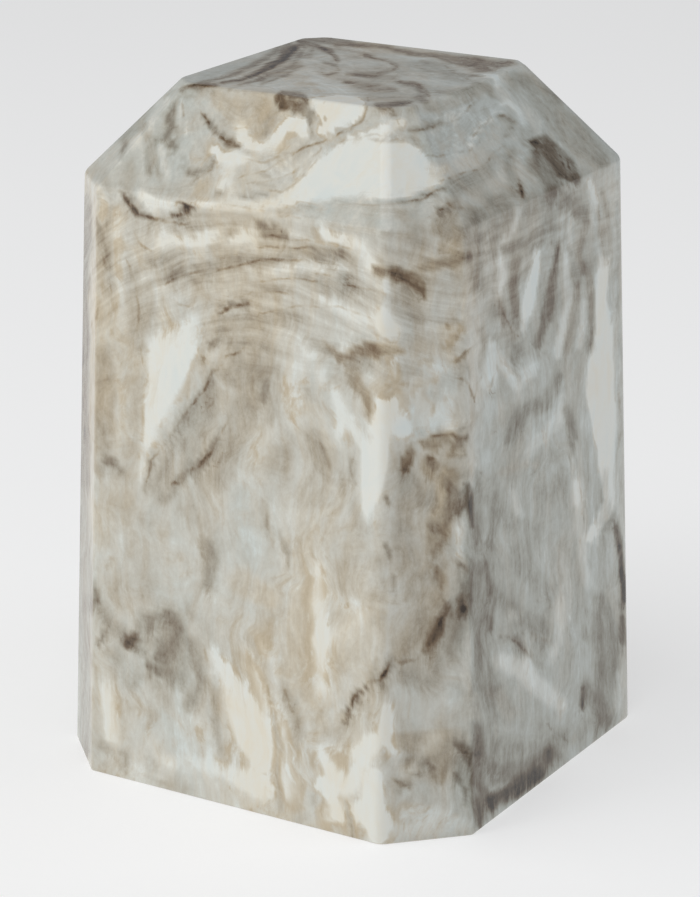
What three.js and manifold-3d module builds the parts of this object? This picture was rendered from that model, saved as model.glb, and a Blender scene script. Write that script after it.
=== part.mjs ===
// A cremation urn cast in one piece from swirled cultured marble: a tall square block with cut corners,
// drawn in slightly towards the top, under a low crown of eight slopes and a flat square plateau. It is
// hollow, is filled through a round opening in its underside, and a moulded rubber stopper closes that.
// Units are millimetres, +Z is up, the front face looks along -Y and the origin is the middle of the foot.
import * as THREE from "three";
import { mergeVertices } from "three/addons/utils/BufferGeometryUtils.js";
import Module from "manifold-3d";

// Outside of the casting
const FOOT_WIDTH = 172; // across the flats at the foot, the same both ways
const CORNER_CUT = 24; // length taken off both sides at each corner of the foot
const WALL_HEIGHT = 220; // from the foot up to the shoulder
const DRAFT_DEG = 2.1; // lean of every wall, so that the casting leaves its mould
const CROWN_HEIGHT = 34; // from the shoulder up to the plateau
const CROWN_INSET = 30.4; // how far the crown draws in on each side
const PLATEAU_CUT = 7; // length taken off both sides at each corner of the plateau
const UPRIGHT_RADIUS = 3; // rounding of the edges between sides and cut corners
const SHOULDER_RADIUS = 4;
const PLATEAU_RADIUS = 2.5;
const ARRIS_BEVEL = 0.8; // taken off the foot and the lips of the stopper

// Inside of the casting
const WALL = 12; // walls and slopes, measured square to the face
const ROOF = 12;
const FLOOR = 12;
const CHAMBER_RADIUS = 5;

// Filling opening and stopper
const OPENING_RADIUS = 30;
const SEAT_LEDGE = 6.5; // width of the ledge around the opening that the flange seats on
const STOPPER_GAP = 0.35; // clearance between the stopper and the casting, all round
const FLANGE_THICKNESS = 3;
const FLANGE_SETBACK = 1.1; // how far the flange stays inside the plane of the foot
const BARREL_REACH = 6; // how far the barrel stands past the floor, into the chamber
const BARREL_WALL = 4.5;
const BARREL_TAPER = 1.2; // lost in radius over the length of the barrel
const RIB_HEIGHT = 0.9; // two sealing ribs run round the barrel
const RIB_WIDTH = 2;
const GRIP_RIM = 7.75; // material left between the grip pockets and the root of the barrel
const GRIP_DEPTH = 5.5; // two pockets, for finger and thumb
const GRIP_FLOOR = 3;
const GRIP_BAR = 9; // width of the bar between the pockets

// Fineness of the rounded parts
const UPRIGHT_STEPS = 5;
const EDGE_STEPS = 6;
const TURNED_STEPS = 64;
const LEAST_CUT = 0.5; // a cut corner never closes up altogether

const HEIGHT = WALL_HEIGHT + CROWN_HEIGHT;
const DRAW = WALL_HEIGHT * Math.tan(THREE.MathUtils.degToRad(DRAFT_DEG));
const SEAT_DEPTH = FLANGE_SETBACK + FLANGE_THICKNESS + STOPPER_GAP;

const wasm = await Module();
wasm.setup();

const point = (x, y) => new THREE.Vector2(x, y);

// A face seen edge on, as (distance from the axis, height) points at its foot, shoulder and plateau. With
// a cut of zero it is one of the four flat sides, and otherwise one of the cut corners.
function faceProfile(footCut, plateauCut, turn) {
  const plateauWidth = FOOT_WIDTH - 2 * DRAW - 2 * CROWN_INSET;
  const foot = ((FOOT_WIDTH - footCut) / 2) * turn;
  const plateau = ((plateauWidth - plateauCut) / 2) * turn;
  return [point(foot, 0), point(foot - DRAW, WALL_HEIGHT), point(plateau, HEIGHT)];
}

// The crossing of two lines, each given by a point and a direction.
function crossing(first, second) {
  const reach = second.at.clone().sub(first.at).cross(second.along) / first.along.cross(second.along);
  return first.at.clone().addScaledVector(first.along, reach);
}

// The line from one profile point to the next, moved square to itself into the block.
function lineInside(from, to, depth) {
  const along = to.clone().sub(from).normalize();
  return { at: from.clone().addScaledVector(point(-along.y, along.x), depth), along };
}

function levelLine(height) {
  return { at: point(0, height), along: point(1, 0) };
}

function roundedCorner(before, corner, after, radius) {
  const back = before.clone().sub(corner).normalize();
  const on = after.clone().sub(corner).normalize();
  const half = Math.acos(back.dot(on)) / 2;
  const middle = back.clone().add(on).setLength(radius / Math.sin(half)).add(corner);
  const reach = radius / Math.tan(half);
  const [start, end] = [back, on].map((way) => way.multiplyScalar(reach).add(corner).sub(middle).angle());
  return new THREE.EllipseCurve(middle.x, middle.y, radius, radius, start, end).getPoints(EDGE_STEPS);
}

// The outside of a face, with the bevel at its foot and with its shoulder and plateau edge rounded.
function outsideOf([foot, shoulder, plateau]) {
  const wall = lineInside(foot, shoulder, 0);
  const bevelTop = crossing(wall, levelLine(ARRIS_BEVEL));
  return [
    point(foot.x - ARRIS_BEVEL, 0),
    bevelTop,
    ...roundedCorner(bevelTop, shoulder, plateau, SHOULDER_RADIUS),
    ...roundedCorner(shoulder, plateau, point(0, HEIGHT), PLATEAU_RADIUS),
  ];
}

// The same face of the chamber, from the floor up to the roof.
function insideOf([foot, shoulder, plateau]) {
  const wall = lineInside(foot, shoulder, WALL);
  const slope = lineInside(shoulder, plateau, WALL);
  return [crossing(wall, levelLine(FLOOR)), crossing(wall, slope), crossing(slope, levelLine(HEIGHT - ROOF))];
}

// One ring around the block through a point of the flat sides' profile and the same point of the cut
// corners' profile. The radius is limited by the width that the cut corner has there.
function ring(side, corner, radius) {
  const cut = Math.max(2 * side.x - Math.SQRT2 * corner.x, LEAST_CUT);
  const round = Math.min(radius, cut / Math.SQRT2 / Math.tan(Math.PI / 8) / 1.05);
  const flat = side.x - round;
  const start = side.x - cut - round * Math.tan(Math.PI / 8);
  const eighth = (middle, from, low, high) =>
    new THREE.EllipseCurve(middle.x, middle.y, round, round, from, from + Math.PI / 4)
      .getPoints(UPRIGHT_STEPS)
      .map((p, i) => new THREE.Vector3(p.x, p.y, THREE.MathUtils.lerp(low, high, i / UPRIGHT_STEPS)));
  const quarter = [
    ...eighth(point(flat, start), 0, side.y, corner.y),
    ...eighth(point(start, flat), Math.PI / 4, corner.y, side.y),
  ];
  const up = new THREE.Vector3(0, 0, 1);
  const turns = [0, 1, 2, 3];
  return turns.flatMap((k) => quarter.map((p) => p.clone().applyAxisAngle(up, (k * Math.PI) / 2)));
}

// A closed geometry through rings of equal length, from the lowest up, with a flat cap at both ends.
function loft(rings) {
  const count = rings[0].length;
  const top = (rings.length - 1) * count;
  const lowMiddle = rings.length * count;
  const highMiddle = lowMiddle + 1;
  const index = [];
  for (let i = 0; i < count; i++) {
    const next = (i + 1) % count;
    index.push(lowMiddle, next, i, highMiddle, top + i, top + next);
    for (let low = 0; low < top; low += count) {
      const high = low + count;
      index.push(low + i, low + next, high + next, low + i, high + next, high + i);
    }
  }
  const axis = [rings[0][0].z, rings.at(-1)[0].z].map((z) => new THREE.Vector3(0, 0, z));
  return new THREE.BufferGeometry().setFromPoints([...rings.flat(), ...axis]).setIndex(index);
}

// A block whose four sides and four cut corners each follow their own profile.
function block(sides, corners, radius) {
  return loft(sides.map((side, i) => ring(side, corners[i], radius)));
}

function solidOf(geometry) {
  const bare = geometry.clone();
  bare.deleteAttribute("normal");
  bare.deleteAttribute("uv");
  const merged = mergeVertices(bare);
  const vertProperties = merged.attributes.position.array;
  const triVerts = new Uint32Array(merged.index.array);
  return new wasm.Manifold(new wasm.Mesh({ numProp: 3, vertProperties, triVerts }));
}

function geometryOf(solid) {
  const { vertProperties, triVerts } = solid.getMesh();
  const geometry = new THREE.BufferGeometry();
  geometry.setAttribute("position", new THREE.BufferAttribute(vertProperties, 3));
  geometry.setIndex(new THREE.BufferAttribute(triVerts, 1));
  const faceted = geometry.toNonIndexed();
  faceted.computeVertexNormals();
  return faceted;
}

// A turned solid with its axis upright, from (radius, height) points that start and end on the axis.
function turned(profile) {
  return new THREE.LatheGeometry(profile, TURNED_STEPS).rotateX(Math.PI / 2);
}

function disc(radius, low, high) {
  return turned([point(0, low), point(radius, low), point(radius, high), point(0, high)]);
}

// The hollow casting, open only at the filling hole and the seat around it.
function casting() {
  const sides = faceProfile(0, 0, 1);
  const corners = faceProfile(CORNER_CUT, PLATEAU_CUT, Math.SQRT2);
  const outside = solidOf(block(outsideOf(sides), outsideOf(corners), UPRIGHT_RADIUS));
  const chamber = solidOf(block(insideOf(sides), insideOf(corners), CHAMBER_RADIUS));
  const opening = solidOf(disc(OPENING_RADIUS, -FLOOR, 2 * FLOOR));
  const seat = solidOf(disc(OPENING_RADIUS + SEAT_LEDGE, -FLOOR, SEAT_DEPTH));
  return geometryOf(outside.subtract(chamber).subtract(opening).subtract(seat));
}

// The stopper, pushed in from below: a flange in the seat, a tapered cup with two ribs, and a grip.
function stopper() {
  const face = FLANGE_SETBACK;
  const flangeTop = face + FLANGE_THICKNESS;
  const inner = FLOOR + BARREL_REACH;
  const flangeRadius = OPENING_RADIUS + SEAT_LEDGE - STOPPER_GAP;
  const ribRadius = OPENING_RADIUS - STOPPER_GAP;
  const rootRadius = ribRadius - RIB_HEIGHT;
  const barrelRadius = (z) => rootRadius - (BARREL_TAPER * (z - flangeTop)) / (inner - flangeTop);
  const rib = (middle) => [
    point(barrelRadius(middle - RIB_WIDTH / 2), middle - RIB_WIDTH / 2),
    point(ribRadius, middle),
    point(barrelRadius(middle + RIB_WIDTH / 2), middle + RIB_WIDTH / 2),
  ];
  const ribSpace = (FLOOR - flangeTop) / 4;
  const cupRadius = barrelRadius(inner) - BARREL_WALL;
  const cupFloor = face + GRIP_DEPTH + GRIP_FLOOR;
  const body = turned([
    point(0, face),
    point(flangeRadius - ARRIS_BEVEL, face),
    point(flangeRadius, face + ARRIS_BEVEL),
    point(flangeRadius, flangeTop),
    point(rootRadius, flangeTop),
    ...rib(flangeTop + ribSpace),
    ...rib(flangeTop + 3 * ribSpace),
    point(barrelRadius(inner - ARRIS_BEVEL), inner - ARRIS_BEVEL),
    point(barrelRadius(inner) - ARRIS_BEVEL, inner),
    point(cupRadius, inner),
    point(cupRadius, cupFloor),
    point(0, cupFloor),
  ]);
  const gripRadius = rootRadius - GRIP_RIM;
  const bar = new THREE.BoxGeometry(GRIP_BAR, 3 * gripRadius, 4 * GRIP_DEPTH);
  const pockets = solidOf(disc(gripRadius, face - GRIP_DEPTH, face + GRIP_DEPTH)).subtract(solidOf(bar));
  return geometryOf(solidOf(body).subtract(pockets));
}

function piece(name, geometry, material) {
  const mesh = new THREE.Mesh(geometry, material);
  mesh.name = name;
  return mesh;
}

const marble = new THREE.MeshStandardMaterial({ color: 0xcfc8bd, roughness: 0.2, metalness: 0 });
const rubber = new THREE.MeshStandardMaterial({ color: 0x2b2a29, roughness: 0.7, metalness: 0 });

const urn = new THREE.Group();
urn.add(piece("urn_body", casting(), marble));
urn.add(piece("stopper", stopper(), rubber));

export default urn;
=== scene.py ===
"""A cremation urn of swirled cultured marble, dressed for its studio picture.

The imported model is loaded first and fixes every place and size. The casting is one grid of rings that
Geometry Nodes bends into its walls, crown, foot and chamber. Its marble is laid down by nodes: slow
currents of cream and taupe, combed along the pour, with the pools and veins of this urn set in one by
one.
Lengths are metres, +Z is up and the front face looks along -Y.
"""
import math
from typing import NamedTuple

import bpy
import numpy as np
from mathutils import Matrix, Vector, noise


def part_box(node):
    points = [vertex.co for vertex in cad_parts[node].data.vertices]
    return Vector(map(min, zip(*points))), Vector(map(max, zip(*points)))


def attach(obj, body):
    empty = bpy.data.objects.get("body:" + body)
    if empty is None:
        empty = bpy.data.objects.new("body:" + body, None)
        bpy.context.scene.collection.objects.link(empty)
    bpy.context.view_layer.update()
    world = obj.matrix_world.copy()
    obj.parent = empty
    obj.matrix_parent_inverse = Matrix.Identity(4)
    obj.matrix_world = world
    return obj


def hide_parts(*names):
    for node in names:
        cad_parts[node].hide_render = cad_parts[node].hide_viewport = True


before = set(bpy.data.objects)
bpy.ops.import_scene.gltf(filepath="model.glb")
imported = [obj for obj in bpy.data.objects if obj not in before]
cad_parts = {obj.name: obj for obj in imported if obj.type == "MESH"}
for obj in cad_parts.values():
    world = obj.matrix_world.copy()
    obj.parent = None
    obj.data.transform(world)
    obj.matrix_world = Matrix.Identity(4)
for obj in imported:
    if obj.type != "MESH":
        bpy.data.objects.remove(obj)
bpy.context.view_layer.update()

bl_info = {
    "name": "Marble urn",
    "version": (1, 0, 0),
    "blender": (4, 5, 0),
    "location": "3D View > Sidebar > Urn",
    "description": "Builds a swirled marble urn with its stopper, studio and camera",
    "category": "Object",
}

CASTING_LOW, CASTING_HIGH = (Vector(corner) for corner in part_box("urn_body"))
CASTING_SIZE = CASTING_HIGH - CASTING_LOW
CROWN_HEIGHT = 0.034

ROOT_TWO = math.sqrt(2.0)
HALF_ROOT = math.sqrt(0.5)
TAN_EIGHTH = math.tan(math.pi / 8)

# The picture that the marks are read in, in pixels
PICTURE_WIDTH = 700
PICTURE_HEIGHT = 897
SENSOR = 36.0


# Node trees written as sums

class Wire:
    """A socket that sums can be written with. Each operation adds one Math or Vector Math node."""

    def __init__(self, tree, socket):
        self.tree = tree
        self.socket = socket

    def operate(self, operation, *others, output=0):
        vector = self.socket.type in ("VECTOR", "RGBA")
        node = self.tree.nodes.new("ShaderNodeVectorMath" if vector else "ShaderNodeMath")
        node.operation = operation
        for socket, value in zip(node.inputs, (self, *others)):
            feed(self.tree, socket, value)
        return Wire(self.tree, node.outputs[output])

    def __add__(self, other):
        return self.operate("ADD", other)

    def __sub__(self, other):
        return self.operate("SUBTRACT", other)

    def __rsub__(self, other):
        return (self * -1.0).operate("ADD", other)

    def __mul__(self, other):
        return self.operate("MULTIPLY", other)

    def __truediv__(self, other):
        return self.operate("DIVIDE", other)

    def clamped(self):
        result = self.operate("ADD", 0.0)
        result.socket.node.use_clamp = True
        return result

    def part(self, axis):
        node = add_node(self.tree, "ShaderNodeSeparateXYZ", Vector=self)
        return Wire(self.tree, node.outputs[axis])


def feed(tree, socket, value):
    """Links a wire to a socket, or sets the socket to a plain value."""
    if isinstance(value, Wire):
        tree.links.new(value.socket, socket)
    else:
        socket.default_value = value


def add_node(tree, kind, settings=(), **inputs):
    """Adds a node. An input is named as in the node, with _ for each space."""
    node = tree.nodes.new(kind)
    for name, value in dict(settings).items():
        setattr(node, name, value)
    for name, value in inputs.items():
        feed(tree, node.inputs[name.replace("_", " ")], value)
    return node


def wire_from(tree, kind, output=0, settings=(), **inputs):
    return Wire(tree, add_node(tree, kind, settings, **inputs).outputs[output])


def combine(tree, x=0.0, y=0.0, z=0.0):
    return wire_from(tree, "ShaderNodeCombineXYZ", X=x, Y=y, Z=z)


def lay_out(tree, column=190, row=170):
    """Sets the nodes out in columns, each to the right of all that feed it."""
    depth = {node: 0 for node in tree.nodes}
    for _ in range(len(tree.nodes)):
        moved = False
        for link in tree.links:
            if depth[link.to_node] <= depth[link.from_node]:
                depth[link.to_node] = depth[link.from_node] + 1
                moved = True
        if not moved:
            break
    filled = {}
    for node, place in depth.items():
        filled[place] = filled.get(place, 0) + 1
        node.location = (place * column, -filled[place] * row)


# The casting

# Added after a division, so that whole numbers stay whole when they are cut down
NUDGE = 1e-4
# How near two corners of the bent grid lie where they are one
SEAM_GAP = 2e-6
# The least cut at a corner, as a share of the distance from the axis
LEAST_CUT = 0.02

# The inputs of the casting's tree, each named after one of the urn's sizes
CASTING_LENGTHS = (
    "Foot Width", "Corner Cut", "Wall Height", "Draw", "Crown Height", "Crown Inset", "Plateau Cut",
    "Soft Rounding", "Crisp Rounding", "Shoulder Rounding", "Plateau Rounding", "Foot Rounding",
    "Wall", "Floor", "Roof", "Chamber Rounding", "Opening Radius", "Seat Radius", "Seat Depth", "Cell",
)
CASTING_COUNTS = ("Upright Steps", "Rounding Steps")
CASTING_INPUTS = {
    **dict.fromkeys(CASTING_LENGTHS, "NodeSocketFloat"),
    **dict.fromkeys(CASTING_COUNTS, "NodeSocketInt"),
    "Material": "NodeSocketMaterial",
}


def switch_by_index(tree, index, values, data_type):
    node = tree.nodes.new("GeometryNodeIndexSwitch")
    node.data_type = data_type
    while len(node.index_switch_items) < len(values):
        node.index_switch_items.new()
    feed(tree, node.inputs["Index"], index)
    for place, value in enumerate(values):
        feed(tree, node.inputs[place + 1], value)
    return Wire(tree, node.outputs[0])


def profile_curve(tree, sizes, foot, plateau):
    """One face of the casting seen edge on, from the top of the crown round to the roof of the chamber.

    Each corner is (distance from the axis, height, rounding, whether the ring there is a circle).
    """
    height = sizes["Wall Height"] + sizes["Crown Height"]
    shoulder = foot - sizes["Draw"]
    inset = shoulder - plateau
    lean = inset / sizes["Crown Height"]
    slope_wall = sizes["Wall"] * (lean * lean + 1.0).operate("SQRT")
    fall = (slope_wall - sizes["Wall"]) / lean
    wall_lean = sizes["Draw"] / sizes["Wall Height"]
    chamber_shoulder = sizes["Wall Height"] - fall
    chamber_roof = height - sizes["Roof"]
    roof_edge = shoulder - sizes["Wall"] - (chamber_roof - chamber_shoulder) * lean
    floor_edge = foot - sizes["Wall"] - sizes["Floor"] * wall_lean
    seat = sizes["Seat Radius"]
    opening = sizes["Opening Radius"]
    corners = [
        (0.0, height, 0.0, 0.0),
        (plateau, height, sizes["Plateau Rounding"], 0.0),
        (shoulder, sizes["Wall Height"], sizes["Shoulder Rounding"], 0.0),
        (foot, 0.0, sizes["Foot Rounding"], 0.0),
        (seat, 0.0, sizes["Foot Rounding"], 1.0),
        (seat, sizes["Seat Depth"], 0.0, 1.0),
        (opening, sizes["Seat Depth"], sizes["Foot Rounding"], 1.0),
        (opening, sizes["Floor"], sizes["Foot Rounding"], 1.0),
        (floor_edge, sizes["Floor"], sizes["Chamber Rounding"], 0.0),
        (shoulder - sizes["Wall"], chamber_shoulder, sizes["Chamber Rounding"], 0.0),
        (roof_edge, chamber_roof, sizes["Chamber Rounding"], 0.0),
        (0.0, chamber_roof, 0.0, 0.0),
    ]
    index = wire_from(tree, "GeometryNodeInputIndex")
    points = [combine(tree, x=distance, z=level) for distance, level, _, _ in corners]
    line = wire_from(tree, "GeometryNodeMeshLine", settings={"mode": "OFFSET"}, Count=len(corners))
    positions = switch_by_index(tree, index, points, "VECTOR")
    placed = wire_from(tree, "GeometryNodeSetPosition", Geometry=line, Position=positions)
    circles = switch_by_index(tree, index, [circle for *_, circle in corners], "FLOAT")
    marked = wire_from(
        tree, "GeometryNodeStoreNamedAttribute", Geometry=placed, Name="circle", Value=circles
    )
    curve = wire_from(tree, "GeometryNodeMeshToCurve", Mesh=marked)
    rounding = switch_by_index(tree, index, [radius for _, _, radius, _ in corners], "FLOAT")
    return wire_from(
        tree,
        "GeometryNodeFilletCurve",
        settings={"mode": "POLY"},
        Curve=curve,
        Radius=rounding,
        Count=sizes["Rounding Steps"],
    )


def sample(tree, geometry, value, index, data_type):
    node = tree.nodes.new("GeometryNodeSampleIndex")
    node.data_type = data_type
    node.domain = "POINT"
    feed(tree, node.inputs["Geometry"], geometry)
    feed(tree, node.inputs["Value"], value)
    feed(tree, node.inputs["Index"], index)
    return Wire(tree, node.outputs[0])


def cut_long_stretches(tree, sizes, side_curve, corner_curve):
    """Cuts the straight stretches outside into cells, which carry the marks, in both profiles alike."""
    index = wire_from(tree, "GeometryNodeInputIndex")
    position = wire_from(tree, "GeometryNodeInputPosition")
    following = sample(tree, side_curve, position, index + 1.0, "FLOAT_VECTOR")
    here = sample(tree, side_curve, position, index, "FLOAT_VECTOR")
    stretch = (following - here).operate("LENGTH", output=1)
    # The wall is the stretch after the crown's middle and the rounded edges of plateau and shoulder
    wall_stretch = sizes["Rounding Steps"] * 2.0 + 2.0
    outside = index.operate("LESS_THAN", wall_stretch + 0.5)
    cuts = (stretch / sizes["Cell"]).operate("FLOOR") * outside
    return [
        wire_from(tree, "GeometryNodeSubdivideCurve", Curve=curve, Cuts=cuts)
        for curve in (side_curve, corner_curve)
    ]


def casting_tree():
    """Bends a flat grid into the hollow casting: a column for each step around, a row for each along."""
    tree = bpy.data.node_groups.new("Marble casting", "GeometryNodeTree")
    for name, kind in CASTING_INPUTS.items():
        tree.interface.new_socket(name, in_out="INPUT", socket_type=kind)
    tree.interface.new_socket("Casting", in_out="OUTPUT", socket_type="NodeSocketGeometry")
    entry = tree.nodes.new("NodeGroupInput")
    sizes = {name: Wire(tree, entry.outputs[name]) for name in CASTING_INPUTS}

    plateau_width = sizes["Foot Width"] - (sizes["Draw"] + sizes["Crown Inset"]) * 2.0
    side_curve = profile_curve(tree, sizes, sizes["Foot Width"] * 0.5, plateau_width * 0.5)
    corner_curve = profile_curve(
        tree,
        sizes,
        (sizes["Foot Width"] - sizes["Corner Cut"]) * HALF_ROOT,
        (plateau_width - sizes["Plateau Cut"]) * HALF_ROOT,
    )

    side_curve, corner_curve = cut_long_stretches(tree, sizes, side_curve, corner_curve)
    curve_size = {"component": "CURVE"}
    size_node = add_node(tree, "GeometryNodeAttributeDomainSize", curve_size, Geometry=side_curve)
    rows = Wire(tree, size_node.outputs["Point Count"])
    arc_cells = sizes["Upright Steps"] + 0.0
    cut_cells = (sizes["Corner Cut"] * ROOT_TWO / sizes["Cell"]).operate("CEIL")
    side_cells = ((sizes["Foot Width"] - sizes["Corner Cut"] * 2.0) / sizes["Cell"]).operate("CEIL")
    quarter_cells = arc_cells * 2.0 + cut_cells + side_cells
    columns = quarter_cells * 4.0 + 1.0
    grid = wire_from(tree, "GeometryNodeMeshGrid", Vertices_X=columns, Vertices_Y=rows)

    index = wire_from(tree, "GeometryNodeInputIndex")
    column = (index / rows + NUDGE).operate("FLOOR")
    row = index - column * rows
    quarter = (column / quarter_cells + NUDGE).operate("FLOOR")
    place = column - quarter * quarter_cells
    first_arc = (place / arc_cells).clamped()
    cut_share = ((place - arc_cells) / cut_cells).clamped()
    second_arc = ((place - arc_cells - cut_cells) / arc_cells).clamped()
    side_share = ((place - arc_cells * 2.0 - cut_cells) / side_cells).clamped()

    position = wire_from(tree, "GeometryNodeInputPosition")
    side = sample(tree, side_curve, position, row, "FLOAT_VECTOR")
    corner = sample(tree, corner_curve, position, row, "FLOAT_VECTOR")
    circle_flag = wire_from(
        tree, "GeometryNodeInputNamedAttribute", settings={"data_type": "FLOAT"}, Name="circle"
    )
    circle = sample(tree, side_curve, circle_flag, row, "FLOAT")
    across = side.part("X")
    cut = (across * 2.0 - corner.part("X") * ROOT_TWO).operate("MAXIMUM", across * LEAST_CUT)
    most = cut * (HALF_ROOT / TAN_EIGHTH)
    soft = (sizes["Soft Rounding"] + circle * across).operate("MINIMUM", most)
    crisp = (sizes["Crisp Rounding"] + circle * across).operate("MINIMUM", most)
    soft_start = across - cut - soft * TAN_EIGHTH
    crisp_start = across - cut - crisp * TAN_EIGHTH

    # The quarter ring is a sum of four steps: arc, cut corner, arc, side
    first_angle = first_arc * (math.pi / 4)
    second_angle = (second_arc + 1.0) * (math.pi / 4)
    soft_end = soft * HALF_ROOT
    crisp_end = crisp * HALF_ROOT
    run_x = crisp_start + crisp_end - (across - soft) - soft_end
    run_y = across - crisp + crisp_end - soft_start - soft_end
    x = across - soft + soft * first_angle.operate("COSINE") + run_x * cut_share
    x = x + crisp * second_angle.operate("COSINE") - crisp_end - (soft_start + crisp_start) * side_share
    y = soft_start + soft * first_angle.operate("SINE") + run_y * cut_share
    y = y + crisp * second_angle.operate("SINE") - crisp_end
    z = side.part("Z") + (corner.part("Z") - side.part("Z")) * (first_arc - second_arc)
    turned = wire_from(
        tree,
        "ShaderNodeVectorRotate",
        settings={"rotation_type": "Z_AXIS"},
        Vector=combine(tree, x, y, z),
        Angle=quarter * (math.pi / 2),
    )
    bent = wire_from(tree, "GeometryNodeSetPosition", Geometry=grid, Position=turned)
    closed = wire_from(tree, "GeometryNodeMergeByDistance", Geometry=bent, Distance=SEAM_GAP)
    outward = wire_from(tree, "GeometryNodeFlipFaces", Mesh=closed)
    smooth = wire_from(tree, "GeometryNodeSetShadeSmooth", Geometry=outward, Shade_Smooth=True)
    real = wire_from(tree, "GeometryNodeRealizeInstances", Geometry=smooth)
    dressed = wire_from(tree, "GeometryNodeSetMaterial", Geometry=real, Material=sizes["Material"])
    leave = tree.nodes.new("NodeGroupOutput")
    feed(tree, leave.inputs["Casting"], dressed)
    lay_out(tree)
    return tree


def length(name, description, default):
    return bpy.props.FloatProperty(
        name=name,
        description=description,
        default=default,
        min=0.0,
        subtype="DISTANCE",
        unit="LENGTH",
        precision=4,
    )


class UrnSizes(bpy.types.PropertyGroup):
    foot_width: length("Foot width", "Width across the flats at the foot", CASTING_SIZE.x)
    corner_cut: length("Corner cut", "Length taken off both sides at each corner of the foot", 0.024)
    wall_height: length("Wall height", "From the foot up to the shoulder", CASTING_SIZE.z - CROWN_HEIGHT)
    draw: length("Draw", "How far each wall leans in over its height", 0.00807)
    crown_height: length("Crown height", "From the shoulder up to the plateau", CROWN_HEIGHT)
    crown_inset: length("Crown inset", "How far the crown draws in on each side", 0.0304)
    plateau_cut: length("Plateau cut", "Length taken off both sides at each corner of the plateau", 0.007)
    soft_rounding: length("Soft rounding", "Radius of the softer upright edge at each corner", 0.006)
    crisp_rounding: length("Crisp rounding", "Radius of the crisper upright edge at each corner", 0.002)
    shoulder_rounding: length("Shoulder rounding", "Radius where the walls meet the crown", 0.004)
    plateau_rounding: length("Plateau rounding", "Radius where the crown meets the plateau", 0.0025)
    foot_rounding: length("Foot rounding", "Radius of the foot's arris and the opening's lips", 0.0008)
    wall: length("Wall", "Thickness of the walls and the crown", 0.012)
    floor: length("Floor", "Thickness of the casting's floor", 0.012)
    roof: length("Roof", "Thickness under the plateau", 0.012)
    chamber_rounding: length("Chamber rounding", "Radius of the edges inside", 0.005)
    opening_radius: length("Opening radius", "Radius of the filling opening", 0.030)
    seat_radius: length("Seat radius", "Radius of the seat around the opening", 0.0365)
    seat_depth: length("Seat depth", "Depth of the seat", 0.00445)
    cell: length("Cell", "Width of the cells that carry the marble's marks", 0.0019)
    upright_steps: bpy.props.IntProperty(
        name="Upright steps", description="Facets around each upright edge", default=8, min=2, max=32
    )
    rounding_steps: bpy.props.IntProperty(
        name="Rounding steps", description="Facets across each rounded edge", default=8, min=2, max=32
    )


def make_casting(sizes, material):
    """Evaluates the tree to a plain mesh in the casting's place."""
    tree = casting_tree()
    carrier = bpy.data.objects.new("casting_carrier", bpy.data.meshes.new("casting_carrier"))
    bpy.context.scene.collection.objects.link(carrier)
    modifier = carrier.modifiers.new("Casting", "NODES")
    modifier.node_group = tree
    for item in tree.interface.items_tree:
        if item.in_out == "INPUT":
            source = item.name.lower().replace(" ", "_")
            modifier[item.identifier] = material if source == "material" else getattr(sizes, source)
    bpy.context.view_layer.update()
    evaluated = carrier.evaluated_get(bpy.context.evaluated_depsgraph_get())
    mesh = bpy.data.meshes.new_from_object(evaluated)
    bpy.data.objects.remove(carrier)
    casting = bpy.data.objects.new("marble_casting", mesh)
    bpy.context.scene.collection.objects.link(casting)
    weighted = casting.modifiers.new("Flat faces", "WEIGHTED_NORMAL")
    weighted.weight = 100
    return casting


# The marble's marks, read from the picture

def streak(tone, edge, *points, warmth=0.0):
    """A pool, patch or band of the pour.

    tone runs from 0, white, to 1, near black, and edge is the width of its soft border in picture pixels.
    Each point is (x, y, half width) in picture pixels. warmth runs from -1, grey, to 1, rust.
    """
    return tone, edge, points, warmth


def vein(strength, width, *points):
    """A thin dark line through points (x, y) in picture pixels. width is its half width in pixels."""
    return strength, width, points
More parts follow.
